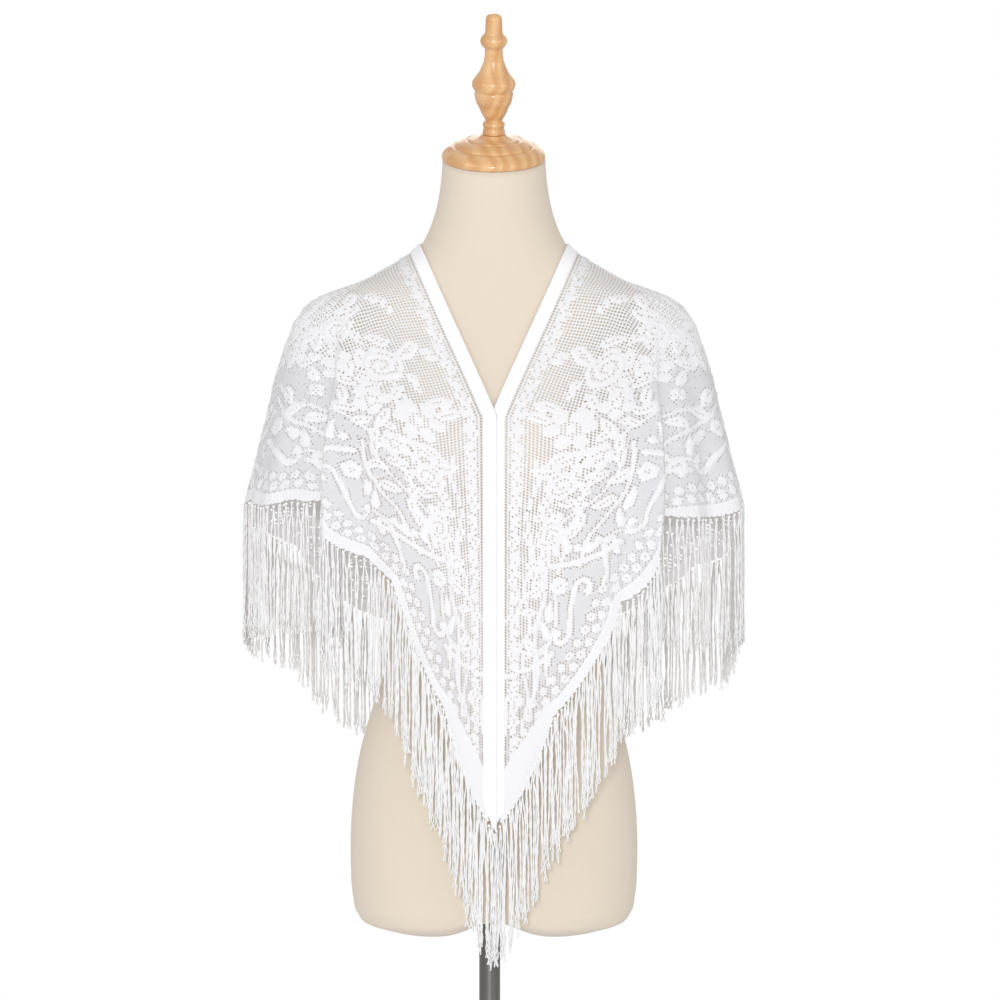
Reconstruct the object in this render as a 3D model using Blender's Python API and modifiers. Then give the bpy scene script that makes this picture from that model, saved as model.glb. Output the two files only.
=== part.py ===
"""Triangular lace shawl on a dress form: every solid piece, in metres, +Z up.

The wearer's front faces -Y. The origin is under the form's axis, on the floor.
The shawl is cut flat as a wide triangle. Its long edge runs round the neck and down the centre
front, and a point of the cut is placed on the draped form by drape(), so every cloth piece is a
piece of the flat cut, laid on the same hanging surface.
"""
import math

import bmesh
import bpy
import numpy as np

# ------------------------------------------------------------------ the flat cut
EDGE_HALF = 0.775         # centre back of the long edge to a front tip
BACK_POINT = 0.50         # long edge to the point at the centre back
BAND_WIDTH = 0.0134       # plain band along the long edge
SEAM_GAP = 0.0004         # left between two pieces
LACE_GAP = 0.0010         # and between the lace and the band, whose facets don't match
SCALLOPS = 7              # round lobes along each short edge
SCALLOP_DEPTH = 0.011
FRINGE_LENGTH = 0.143

LACE_WALL = 0.0014
BAND_WALL = 0.0016
FRINGE_WALL = 0.0018

# ------------------------------------------------------------------ the neckline as worn
NAPE_HEIGHT = 1.532
SIDE_NECK_HEIGHT = 1.5185
SIDE_NECK_X = 0.0780
V_HEIGHT = 1.3354

# ------------------------------------------------------------------ how the fronts lap
LAP = 0.003               # each front edge crosses the centre by this
LAP_LIFT = 0.0015         # the wearer's right front lies over the left one
LAP_REACH = 0.040
FOLD_EASE = 0.8           # how soon a lapped fold reaches its full depth
LOBE_ROUNDNESS = 0.8

# Level sections of the dress form. Squareness 2 is an ellipse.
# height, half_width, front, back, squareness
FORM_SECTIONS = (
    (0.8000, 0.1080, 0.0750, 0.0860, 2.15),
    (0.8070, 0.1320, 0.0940, 0.1080, 2.20),
    (0.8180, 0.1430, 0.1010, 0.1160, 2.25),
    (0.8360, 0.1478, 0.1035, 0.1190, 2.25),
    (0.8670, 0.1500, 0.1050, 0.1210, 2.25),
    (0.9100, 0.1497, 0.1050, 0.1190, 2.25),
    (0.9530, 0.1460, 0.1020, 0.1110, 2.25),
    (0.9920, 0.1390, 0.0965, 0.1000, 2.20),
    (1.0240, 0.1300, 0.0915, 0.0920, 2.15),
    (1.0600, 0.1180, 0.0875, 0.0845, 2.10),
    (1.1000, 0.1110, 0.0860, 0.0790, 2.10),
    (1.1500, 0.1140, 0.0930, 0.0835, 2.10),
    (1.2000, 0.1260, 0.1060, 0.0920, 2.15),
    (1.2500, 0.1410, 0.1185, 0.0995, 2.20),
    (1.3000, 0.1530, 0.1205, 0.1040, 2.25),
    (1.3500, 0.1610, 0.1080, 0.1050, 2.25),
    (1.4000, 0.1670, 0.0890, 0.1005, 2.20),
    (1.4300, 0.1700, 0.0785, 0.0950, 2.15),
    (1.4500, 0.1680, 0.0725, 0.0905, 2.10),
    (1.4650, 0.1570, 0.0685, 0.0865, 2.05),
    (1.4780, 0.1370, 0.0655, 0.0820, 2.00),
    (1.4905, 0.1140, 0.0625, 0.0775, 2.00),
    (1.5030, 0.0925, 0.0600, 0.0725, 2.00),
    (1.5160, 0.0770, 0.0580, 0.0675, 2.00),
    (1.5270, 0.0705, 0.0563, 0.0630, 2.00),
    (1.5400, 0.0650, 0.0545, 0.0585, 2.00),
    (1.5580, 0.0598, 0.0520, 0.0550, 2.00),
    (1.5750, 0.0567, 0.0505, 0.0525, 2.00),
    (1.5930, 0.0547, 0.0500, 0.0505, 2.00),
    (1.6075, 0.0540, 0.0500, 0.0500, 2.00),
)
FORM_SIDES = 48
NECK_TILT = math.radians(22)      # the top of the neck leans forward
TILT_START = 1.540                # and starts to lean here
ARCH_HEIGHT = 0.017               # the bottom edge rises in the middle
ARCH_WIDTH = 0.034
ARCH_TOP = 0.845
BOTTOM_RINGS = (0.72, 0.42, 0.2)

# Level sections of the hanging cloth, below where it rests on the shoulders.
# height, half_width, front, back, squareness
HANGING_SECTIONS = (
    (0.8800, 0.2950, 0.1350, 0.1310, 2.15),
    (1.0000, 0.2900, 0.1338, 0.1270, 2.15),
    (1.1000, 0.2830, 0.1325, 0.1235, 2.15),
    (1.2000, 0.2700, 0.1300, 0.1200, 2.15),
    (1.2500, 0.2605, 0.1275, 0.1175, 2.15),
    (1.3000, 0.2478, 0.1240, 0.1140, 2.15),
    (1.3400, 0.2380, 0.1158, 0.1115, 2.15),
    (1.3750, 0.2300, 0.1022, 0.1075, 2.10),
    (1.4000, 0.2225, 0.0925, 0.1040, 2.10),
    (1.4200, 0.2155, 0.0850, 0.1000, 2.08),
    (1.4400, 0.2070, 0.0785, 0.0955, 2.05),
    (1.4550, 0.1940, 0.0738, 0.0920, 2.02),
    (1.4665, 0.1740, 0.0705, 0.0890, 2.00),
)
# On the shoulders and round the neck the cloth lies this far up and out from the form.
REST = 0.0014
REST_FROM, REST_TO = 1.470, 1.545
CLOTH_SECTIONS = HANGING_SECTIONS + tuple(
    (height + REST, half_width + REST, front + REST, back + REST, square)
    for height, half_width, front, back, square in FORM_SECTIONS
    if REST_FROM < height < REST_TO
)

# The hem's height round the body, without the scallops. Round is 0 at the centre back, 0.5 at
# the arm and 1 at the centre front.
# round, wearer's right, wearer's left
HEM_HEIGHTS = (
    (0.000, 1.0400, 1.0400),
    (0.100, 1.1040, 1.1040),
    (0.200, 1.1570, 1.1550),
    (0.300, 1.2060, 1.1840),
    (0.360, 1.2250, 1.2030),
    (0.420, 1.2380, 1.2260),
    (0.500, 1.2480, 1.2480),
    (0.580, 1.2510, 1.2500),
    (0.660, 1.2530, 1.2430),
    (0.725, 1.2580, 1.2390),
    (0.765, 1.2500, 1.2330),
    (0.800, 1.2360, 1.2210),
    (0.830, 1.2190, 1.2020),
    (0.861, 1.1930, 1.1400),
    (0.895, 1.1590, 1.0980),
    (0.944, 1.0560, 1.0250),
    (1.000, 0.9150, 0.9150),
)

# Folds that lap over themselves in front of each arm. Side -1 is the wearer's right. A fold
# runs from round_top at the shoulder to round_hem, starts at the given share of the way down,
# swings the cloth sideways by swing and stands apart by lift.
# side, round_top, round_hem, half_span, swing, lift, start
LAPPED_FOLDS = (
    (-1, 0.700, 0.798, 0.054, 0.0255, 0.0068, 0.30),
    (+1, 0.672, 0.806, 0.052, 0.0235, 0.0068, 0.34),
)

# Soft ridges (lift above 0) and troughs (below 0), uneven as cloth hangs.
# side, round_top, round_hem, half_span, lift, start
SOFT_FOLDS = (
    (-1, 0.880, 0.900, 0.040, 0.0060, 0.35),
    (-1, 0.930, 0.945, 0.030, -0.0035, 0.40),
    (-1, 0.620, 0.665, 0.045, 0.0050, 0.45),
    (-1, 0.560, 0.560, 0.050, -0.0040, 0.35),
    (-1, 0.370, 0.390, 0.060, 0.0080, 0.30),
    (-1, 0.240, 0.270, 0.060, -0.0060, 0.35),
    (-1, 0.120, 0.130, 0.070, 0.0070, 0.30),
    (+1, 0.900, 0.885, 0.045, 0.0050, 0.40),
    (+1, 0.935, 0.950, 0.026, -0.0030, 0.45),
    (+1, 0.610, 0.680, 0.040, -0.0070, 0.40),
    (+1, 0.570, 0.610, 0.045, 0.0070, 0.40),
    (+1, 0.420, 0.430, 0.055, -0.0050, 0.30),
    (+1, 0.310, 0.330, 0.060, 0.0070, 0.35),
    (+1, 0.160, 0.180, 0.060, -0.0060, 0.30),
    (+1, 0.040, 0.050, 0.060, 0.0050, 0.40),
)

# ------------------------------------------------------------------ neck cap and finial, turned
# radius, height over the cap's seat, top to bottom
FINIAL_PROFILE = (
    (0.0000, 0.1536), (0.0036, 0.1533), (0.0066, 0.1519), (0.0085, 0.1480), (0.0089, 0.1400),
    (0.0093, 0.1334), (0.0108, 0.1316), (0.0134, 0.1285), (0.0142, 0.1253), (0.0132, 0.1216),
    (0.0106, 0.1184), (0.0094, 0.1162), (0.0101, 0.1066), (0.0121, 0.1000), (0.0150, 0.0938),
    (0.0198, 0.0870), (0.0226, 0.0826), (0.0230, 0.0790), (0.0216, 0.0752), (0.0200, 0.0722),
    (0.0206, 0.0700), (0.0198, 0.0652), (0.0188, 0.0610), (0.0163, 0.0562), (0.0123, 0.0472),
    (0.0092, 0.0420), (0.0090, 0.0408), (0.0110, 0.0392), (0.0117, 0.0370), (0.0109, 0.0336),
    (0.0108, 0.0326), (0.0119, 0.0304), (0.0119, 0.0278), (0.0112, 0.0268), (0.0000, 0.0268),
)
CAP_PROFILE = (
    (0.0000, 0.0265), (0.0124, 0.0265), (0.0142, 0.0243), (0.0200, 0.0222), (0.0264, 0.0214),
    (0.0278, 0.0199), (0.0296, 0.0203), (0.0345, 0.0190), (0.0402, 0.0160), (0.0416, 0.0139),
    (0.0432, 0.0141), (0.0490, 0.0112), (0.0535, 0.0072), (0.0550, 0.0035), (0.0548, 0.0010),
    (0.0530, 0.0000), (0.0000, 0.0000),
)
TURNED_STEPS = 40
CAP_SEAT_GAP = 0.0003

# ------------------------------------------------------------------ stand
POLE_X = -0.0045                  # the pole stands a little to the wearer's right of the axis
POLE_RADIUS = 0.011
SOCKET_CLEARANCE = 0.0003
SOCKET_DEPTH = 0.070
POLE_SIDES = 32
BASE_RADIUS = 0.150
# radius, height, top to bottom
BASE_PROFILE = (
    (0.0160, 0.0600), (0.0175, 0.0590), (0.0180, 0.0570), (0.0180, 0.0300), (0.0215, 0.0215),
    (0.0320, 0.0170), (0.1000, 0.0135), (0.1420, 0.0110), (0.1485, 0.0085), (BASE_RADIUS, 0.0055),
    (BASE_RADIUS, 0.0015), (0.1488, 0.0000), (0.0000, 0.0000),
)
BASE_SOCKET_FLOOR = 0.010         # the pole stands on this height inside the collar

# ------------------------------------------------------------------ how finely cloth is faceted
RIB_COLUMNS = 58                  # ribs on each half
RIB_ROWS = 12
RIB_CROWDING = 0.12               # towards the front tip
TIP_LEFT = 0.004                  # of the lace's depth, where the last rib stands
BAND_COLUMNS = 76
FRINGE_ROWS = 2
FRINGE_TIP_SHARES = (0.982, 0.999)
FRINGE_TOP_GAP = 0.0011           # from the hem's middle line, so that both walls clear
FOLD_CLEARANCE = 0.0155           # layers nearer than this make a fold: its fringe starts
FOLD_DROP = 0.007                 # this far under the lowest layer


# ================================================================== the draped surface
def smooth_columns(table, at):
    """Each value column of a table, read at the given places along its first column."""
    rows = np.array(table)
    knots, values = rows[:, 0], rows[:, 1:]
    slopes = np.gradient(values, knots, axis=0)
    at = np.clip(np.asarray(at, dtype=float), knots[0], knots[-1])
    i = np.clip(np.searchsorted(knots, at) - 1, 0, len(knots) - 2)
    span = knots[i + 1] - knots[i]
    f = ((at - knots[i]) / span)[..., None]
    span = span[..., None]
    return ((1 + 2 * f) * (1 - f) ** 2 * values[i] + f * (1 - f) ** 2 * span * slopes[i]
            + f * f * (3 - 2 * f) * values[i + 1] + f * f * (f - 1) * span * slopes[i + 1])


def on_section(table, height, turn, side=1):
    """x and y on a level section, at turn half circles from the centre back."""
    half_width, front, back, square = np.moveaxis(smooth_columns(table, height), -1, 0)
    sine, cosine = np.sin(np.pi * turn), np.cos(np.pi * turn)
    power = 2 / square
    x = side * half_width * np.abs(sine) ** power
    y = np.where(cosine > 0, back, front) * np.sign(cosine) * np.abs(cosine) ** power
    return x, y


def smooth_step(low, high, value):
    f = np.clip((value - low) / (high - low), 0, 1)
    return f * f * (3 - 2 * f)


def neckline_height(turn):
    """Height of the long edge: round the back of the neck, then straight down to the V."""
    low, high = np.full_like(turn, V_HEIGHT), np.full_like(turn, NAPE_HEIGHT)
    for _ in range(40):
        middle = (low + high) / 2
        edge_x = SIDE_NECK_X * (middle - V_HEIGHT) / (SIDE_NECK_HEIGHT - V_HEIGHT)
        outside = edge_x > on_section(CLOTH_SECTIONS, middle, turn)[0]
        high = np.where(outside, middle, high)
        low = np.where(outside, low, middle)
    behind = NAPE_HEIGHT + (SIDE_NECK_HEIGHT - NAPE_HEIGHT) * np.sin(np.pi * turn) ** 2
    return np.where(turn > 0.5, low, behind)


class Half:
    """One half of the shawl. Ribs run from the long edge to the hem, at the same turn round
    the body; a place on it is (turn, down), and down is 1 at the hem between two scallops."""

    TURNS = 321
    STEPS = 161
    BELOW_HEM = 0.05
    NUDGE = 0.004
    PLACES, SHARES = 241, 161
    LAST_EVEN = 0.985

    def __init__(self, side):
        self.side = side
        self.turns = np.linspace(0, 1, self.TURNS)
        top = neckline_height(self.turns)
        hem = smooth_columns(HEM_HEIGHTS, self.turns)[:, 0 if side < 0 else 1]
        share = np.linspace(0, 1, self.STEPS)
        heights = top[:, None] + (hem - self.BELOW_HEM - top)[:, None] * share
        x, y = on_section(CLOTH_SECTIONS, heights, self.turns[:, None])
        steps = np.sqrt(np.diff(x) ** 2 + np.diff(y) ** 2 + np.diff(heights) ** 2)
        lengths = np.concatenate([np.zeros((self.TURNS, 1)), np.cumsum(steps, axis=1)], axis=1)
        self.downs = np.linspace(0, 1.1, 89)
        self.heights = np.empty((self.TURNS, len(self.downs)))
        for i in range(self.TURNS):
            to_hem = np.interp(-hem[i], -heights[i], lengths[i])
            self.heights[i] = np.interp(self.downs * to_hem, lengths[i], heights[i])
        self.edge_u = self.run(self.at(self.turns, np.zeros(self.TURNS)))
        self.hem_share = self.run(self.at(self.turns, np.ones(self.TURNS)))
        self.hem_share /= self.hem_share[-1]
        self.shares = np.empty((self.PLACES, self.SHARES))
        self.even_out()

    @staticmethod
    def run(points):
        steps = np.linalg.norm(np.diff(points, axis=0), axis=1)
        return np.concatenate([[0], np.cumsum(steps)])

    def height(self, turn, down):
        i = np.clip(turn * (self.TURNS - 1), 0, self.TURNS - 1.000001)
        j = np.clip(down / self.downs[1], 0, len(self.downs) - 1.000001)
        i0, j0 = i.astype(int), j.astype(int)
        fi, fj = i - i0, j - j0
        h = self.heights
        return ((h[i0, j0] * (1 - fj) + h[i0, j0 + 1] * fj) * (1 - fi)
                + (h[i0 + 1, j0] * (1 - fj) + h[i0 + 1, j0 + 1] * fj) * fi)

    def at(self, turn, down):
        """The cloth's middle surface in space, folds and front lap included."""
        turn, down = np.broadcast_arrays(np.asarray(turn, float), np.asarray(down, float))
        z = self.height(turn, down)
        x, y = on_section(CLOTH_SECTIONS, z, turn)
        x2, y2 = on_section(CLOTH_SECTIONS, z, np.clip(turn + self.NUDGE, 0, 1))
        x1, y1 = on_section(CLOTH_SECTIONS, z, np.clip(turn - self.NUDGE, 0, 1))
        along = np.hypot(x2 - x1, y2 - y1)
        tx, ty = (x1 - x2) / along, (y1 - y2) / along       # towards the back, along the section
        sideways, lift = self.folds(turn, down)
        out_x, out_y = ty, -tx
        x = x + tx * sideways + out_x * lift
        y = y + ty * sideways + out_y * lift
        near_front = np.exp(-(x / LAP_REACH) ** 2) * (turn > 0.5)
        x = self.side * x - self.side * LAP * near_front
        y = y + self.side * LAP_LIFT * near_front
        return np.stack([x, y, z], axis=-1)

    def folds(self, turn, down):
        sideways, lift = np.zeros_like(turn), np.zeros_like(turn)
        for side, top, hem, half_span, swing, rise, start in LAPPED_FOLDS:
            if side != self.side:
                continue
            grown = smooth_step(start, 1.0, down) ** FOLD_EASE
            p = np.clip((top + (hem - top) * down - turn) / half_span, -1, 1)
            sideways = sideways - swing * grown * np.sin(np.pi * p)
            lift = lift - rise * grown * np.sin(np.pi * p)
        for side, top, hem, half_span, rise, start in SOFT_FOLDS:
            if side != self.side:
                continue
            grown = smooth_step(start, 1.1, down)
            p = np.clip((top + (hem - top) * down - turn) / half_span, -1, 1)
            lift = lift + rise * grown * np.cos(np.pi * p / 2) ** 2
        return sideways, lift

    # -------------------------------------------------- the flat cut on this half
    def rib_ends(self, turn):
        """Where a rib starts on the long edge and ends on the hem, in the flat cut."""
        start = np.interp(turn, self.turns, self.edge_u)
        share = np.interp(turn, self.turns, self.hem_share)
        return start, EDGE_HALF * share, BACK_POINT * (1 - share)

    def rib_through(self, u, v):
        """The rib through a point of the flat cut, and how far down it the point is."""
        low, high = np.zeros_like(u), np.ones_like(u)
        for _ in range(36):
            middle = (low + high) / 2
            start, end_u, end_v = self.rib_ends(middle)
            behind = (end_u - start) * v - end_v * (u - start) > 0
            high = np.where(behind, middle, high)
            low = np.where(behind, low, middle)
        start, end_u, end_v = self.rib_ends(low)
        return low, np.hypot(u - start, v) / np.hypot(end_u - start, end_v)

    def even_out(self):
        """For places along the long edge, which share of the way to the hem each v lies at: the
        band keeps its true width, and the lace gives evenly from there to the hem."""
        shares = np.linspace(0, 1, self.SHARES)
        u = np.linspace(0, EDGE_HALF * self.LAST_EVEN, self.PLACES)[:, None]
        to_hem = BACK_POINT * (1 - u / EDGE_HALF)
        line = self.at(*self.rib_through(*np.broadcast_arrays(u, to_hem * shares)))
        steps = np.linalg.norm(np.diff(line, axis=1), axis=2)
        run = np.concatenate([np.zeros((len(u), 1)), np.cumsum(steps, axis=1)], axis=1)
        edge_way = np.gradient(line[:, 0], axis=0)
        edge_way /= np.linalg.norm(edge_way, axis=1, keepdims=True)
        inward = line[:, 1:] - line[:, :1]
        off_edge = np.linalg.norm(np.cross(inward, edge_way[:, None]), axis=2)
        for i in range(len(u)):
            across = np.concatenate([[0], np.maximum.accumulate(off_edge[i])])
            band_run = np.interp(BAND_WIDTH, across, run[i])
            band_v = min(BAND_WIDTH, to_hem[i, 0] * 0.9)
            wanted_v = to_hem[i, 0] * shares
            wanted_run = np.interp(wanted_v, (0, band_v, to_hem[i, 0]), (0, band_run, run[i, -1]))
            self.shares[i] = np.interp(wanted_run, run[i], shares)

    def evened(self, u, v):
        """The v at which the ribs hold a point of the flat cut."""
        i = np.clip(u / (EDGE_HALF * self.LAST_EVEN), 0, 1) * (self.PLACES - 1.000001)
        to_hem = np.maximum(BACK_POINT * (1 - u / EDGE_HALF), 1e-6)
        j = np.clip(v / to_hem, 0, 1) * (self.SHARES - 1.000001)
        i0, j0 = i.astype(int), j.astype(int)
        fi, fj = i - i0, j - j0
        t = self.shares
        share = ((t[i0, j0] * (1 - fj) + t[i0, j0 + 1] * fj) * (1 - fi)
                 + (t[i0 + 1, j0] * (1 - fj) + t[i0 + 1, j0 + 1] * fj) * fi)
        return share * to_hem + np.maximum(v - to_hem, 0)

    def drape(self, u, v):
        """A point of the flat cut (u along the long edge, v across), on the body."""
        u, v = np.broadcast_arrays(np.asarray(u, float), np.asarray(v, float))
        return self.at(*self.rib_through(u, self.evened(u, v)))

    def down_to(self, turn, v):
        """How far down each rib a line at v, along the long edge, crosses it."""
        start, end_u, end_v = self.rib_ends(turn)
        low, high = np.zeros_like(turn), np.ones_like(turn)
        for _ in range(30):
            middle = (low + high) / 2
            past = end_v * middle > self.evened(start + (end_u - start) * middle, v)
            high = np.where(past, middle, high)
            low = np.where(past, low, middle)
        return high

    def turn_of_share(self, share):
        return np.interp(share, self.hem_share, self.turns)

    def hem_down(self, turn):
        """How far down a rib the scalloped hem lies."""
        start, end_u, end_v = self.rib_ends(turn)
        share = end_u / EDGE_HALF
        lobe = np.abs(np.sin(np.pi * SCALLOPS * share))
        return 1 + SCALLOP_DEPTH * lobe ** LOBE_ROUNDNESS / np.hypot(end_u - start, end_v)


# ================================================================== mesh helpers
def clear_scene():
    for obj in list(bpy.data.objects):
        bpy.data.objects.remove(obj, do_unlink=True)


def make_collection(name):
    collection = bpy.data.collections.new(name)
    bpy.context.scene.collection.children.link(collection)
    return collection


def make_material(name, colour, roughness, metallic=0.0):
    material = bpy.data.materials.new(name)
    material.use_nodes = True
    shader = material.node_tree.nodes["Principled BSDF"]
    shader.inputs["Base Color"].default_value = (*colour, 1)
    shader.inputs["Roughness"].default_value = roughness
    shader.inputs["Metallic"].default_value = metallic
    return material


def add_object(name, bm, collection, material, smooth_angle=math.radians(40)):
    mesh = bpy.data.meshes.new(name)
    bm.to_mesh(mesh)
    bm.free()
    mesh.shade_smooth()
    mesh.set_sharp_from_angle(angle=smooth_angle)
    obj = bpy.data.objects.new(name, mesh)
    collection.objects.link(obj)
    obj.data.materials.append(material)
    return obj


def grid_mesh(points):
    """An open sheet through a grid of points, rows by columns."""
    bm = bmesh.new()
    rows = [[bm.verts.new(p) for p in row] for row in points]
    for above, below in zip(rows, rows[1:]):
        for i in range(len(above) - 1):
            bm.faces.new((above[i], above[i + 1], below[i + 1], below[i]))
    return bm


def thicken(obj, wall):
    solidify = obj.modifiers.new("wall", "SOLIDIFY")
    solidify.thickness = wall
    solidify.offset = 0
    return obj


def turned(name, profile, collection, material, steps=TURNED_STEPS):
    """A profile of radius and height, top to bottom, turned about Z."""
    bm = bmesh.new()
    verts = [bm.verts.new((radius, 0, height)) for radius, height in profile]
    for a, b in zip(verts, verts[1:]):
        bm.edges.new((a, b))
    obj = add_object(name, bm, collection, material)
    screw = obj.modifiers.new("turned", "SCREW")
    screw.steps = steps
    screw.render_steps = steps
    screw.use_merge_vertices = True
    screw.merge_threshold = 0.00001
    screw.use_smooth_shade = True
    return obj


def cylinder(name, radius, low, high, sides, collection, material):
    bm = bmesh.new()
    bmesh.ops.create_cone(bm, cap_ends=True, segments=sides, radius1=radius, radius2=radius,
                          depth=high - low)
    bmesh.ops.translate(bm, verts=bm.verts, vec=(0, 0, (low + high) / 2))
    return add_object(name, bm, collection, material)


def cut(obj, cutter):
    boolean = obj.modifiers.new("cut", "BOOLEAN")
    boolean.operation = "DIFFERENCE"
    boolean.solver = "EXACT"
    boolean.object = cutter
    cutter.hide_render = True
    cutter.display_type = "WIRE"


# ================================================================== the dress form and its stand
def form_ring(height):
    """One ring of the form, its bottom arched up in the middle and its neck leaning forward."""
    turn = np.arange(FORM_SIDES) * 2 / FORM_SIDES
    side = np.where(turn <= 1, 1, -1)
    x, y = on_section(FORM_SECTIONS, np.full(FORM_SIDES, height), turn, side)
    arch = ARCH_HEIGHT * smooth_step(ARCH_TOP, FORM_SECTIONS[0][0], height)
    top = FORM_SECTIONS[-1][0]
    lean = math.tan(NECK_TILT) * smooth_step(TILT_START, top, height)
    z = height + arch * np.exp(-(x / ARCH_WIDTH) ** 2) + lean * y
    return np.stack([x, y, z], axis=-1)


def make_torso(collection, cutters, material):
    bm = bmesh.new()
    loops = [form_ring(row[0]) for row in FORM_SECTIONS]
    bottom = loops[0]
    for share in BOTTOM_RINGS:
        ring = bottom * (share, share, 1)
        arch = ARCH_HEIGHT * (np.exp(-(ring[:, 0] / ARCH_WIDTH) ** 2))
        ring[:, 2] = FORM_SECTIONS[0][0] + arch
        loops.insert(0, ring)
    rings = [[bm.verts.new(p) for p in loop] for loop in loops]
    for below, above in zip(rings, rings[1:]):
        for i in range(FORM_SIDES):
            j = (i + 1) % FORM_SIDES
            bm.faces.new((below[i], above[i], above[j], below[j]))
    bm.faces.new(rings[-1])
    bm.faces.new(list(reversed(rings[0])))
    bmesh.ops.recalc_face_normals(bm, faces=bm.faces)
    torso = add_object("form_torso", bm, collection, material)
    top = FORM_SECTIONS[0][0] + ARCH_HEIGHT + SOCKET_DEPTH
    socket = cylinder("pole_socket", POLE_RADIUS + SOCKET_CLEARANCE, FORM_SECTIONS[0][0] - 0.05,
                      top, POLE_SIDES, cutters, material)
    socket.location.x = POLE_X
    cut(torso, socket)
    return torso


def make_neck_top(collection, material):
    seat = FORM_SECTIONS[-1][0] + CAP_SEAT_GAP
    for name, profile in (("neck_cap", CAP_PROFILE), ("neck_finial", FINIAL_PROFILE)):
        piece = turned(name, profile, collection, material)
        piece.rotation_euler.x = NECK_TILT
        piece.location.z = seat


def make_stand(collection, cutters, material):
    top = FORM_SECTIONS[0][0] + ARCH_HEIGHT + SOCKET_DEPTH - SOCKET_CLEARANCE
    pole = cylinder("stand_pole", POLE_RADIUS, BASE_SOCKET_FLOOR + SOCKET_CLEARANCE, top,
                    POLE_SIDES, collection, material)
    pole.location.x = POLE_X
    profile = ((0.0, BASE_PROFILE[0][1]),) + BASE_PROFILE
    base = turned("stand_base", profile, collection, material, steps=64)
    base.location.x = POLE_X
    hole = cylinder("base_socket", POLE_RADIUS + SOCKET_CLEARANCE, BASE_SOCKET_FLOOR,
                    BASE_PROFILE[0][1] + 0.02, POLE_SIDES, cutters, material)
    hole.location.x = POLE_X
    cut(base, hole)


# ================================================================== the shawl
def rib_shares():
    """Ribs at even steps along the hem, closer together towards the narrow front tip."""
    inner = BAND_WIDTH + LACE_GAP
    last = 1 - (inner + TIP_LEFT) / BACK_POINT
    even = np.linspace(0, 1, RIB_COLUMNS + 1)
    return last * (even + RIB_CROWDING * np.sin(np.pi * even) * even)


def make_lace(halves, collection, material):
    """The lace panel, in one piece from front tip to front tip, inside the band."""
    inner = BAND_WIDTH + LACE_GAP
    columns = []
    for half in halves:
        turns = half.turn_of_share(rib_shares())
        first, last = half.down_to(turns, inner), half.hem_down(turns)
        rows = np.linspace(0, 1, RIB_ROWS + 1)[:, None]
        downs = first + (last - first) * rows
        columns.append(half.at(np.broadcast_to(turns, downs.shape), downs))
    right, left = columns
    points = np.concatenate([right[:, :0:-1], left], axis=1)
    return thicken(add_object("lace_body", grid_mesh(points), collection, material), LACE_WALL)


def make_band(name, half, collection, material):
    """The plain band on the long edge, from the centre back to the front tip."""
    across = np.array([0, BAND_WIDTH])[:, None]
    end_u = EDGE_HALF * (1 - across / BACK_POINT)
    along = np.linspace(0, 1, BAND_COLUMNS + 1)
    centre_gap = SEAM_GAP / 2
    u = centre_gap + (end_u - centre_gap) * along
    points = half.drape(u, np.broadcast_to(across, u.shape))
    return thicken(add_object(name, grid_mesh(points), collection, material), BAND_WALL)


def make_fringe(name, half, collection, material):
    """The reach of the knotted fringe on one short edge, straight down from the hem."""
    turns = half.turn_of_share(np.concatenate([rib_shares(), FRINGE_TIP_SHARES]))
    hem = half.at(turns, half.hem_down(turns))
    hem[0, 0] = half.side * SEAM_GAP / 2
    rib = np.arange(len(hem))
    apart = np.hypot(*(hem[:, None, :2] - hem[None, :, :2]).transpose(2, 0, 1))
    folded = (apart < FOLD_CLEARANCE) & (np.abs(rib[:, None] - rib) > 1)
    hem[:, 2] = np.where(folded, hem[None, :, 2] - FOLD_DROP, hem[:, None, 2]).min(axis=1)
    hang = np.linspace(0, 1, FRINGE_ROWS + 1)[:, None]
    points = np.repeat(hem[None], FRINGE_ROWS + 1, axis=0)
    points[..., 2] -= FRINGE_TOP_GAP + (FRINGE_LENGTH - FRINGE_TOP_GAP) * hang
    return thicken(add_object(name, grid_mesh(points), collection, material), FRINGE_WALL)


def main():
    clear_scene()
    parts = make_collection("lace_shawl_on_dress_form")
    cutters = make_collection("cutters")
    lace = make_material("white_lace", (0.86, 0.86, 0.89), 0.8)
    linen = make_material("beige_cover", (0.78, 0.68, 0.54), 0.85)
    wood = make_material("light_oak", (0.72, 0.42, 0.20), 0.35)
    steel = make_material("dark_steel", (0.10, 0.10, 0.095), 0.3, 1.0)

    make_torso(parts, cutters, linen)
    make_neck_top(parts, wood)
    make_stand(parts, cutters, steel)

    right, left = Half(-1), Half(+1)
    make_lace((right, left), parts, lace)
    make_band("band_right", right, parts, lace)
    make_band("band_left", left, parts, lace)
    make_fringe("fringe_right", right, parts, lace)
    make_fringe("fringe_left", left, parts, lace)


main()
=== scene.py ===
"""Looks of a triangular lace shawl with a knotted fringe, on a dress form. Metres, +Z up.

The wearer's front faces -Y. The lace is made cell by cell in the flat cut and laid on the draped
surface, so its pattern follows the cloth. u runs along the long edge from the centre back,
v across the triangle; the wearer's right half has negative u.
"""
import math

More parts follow.
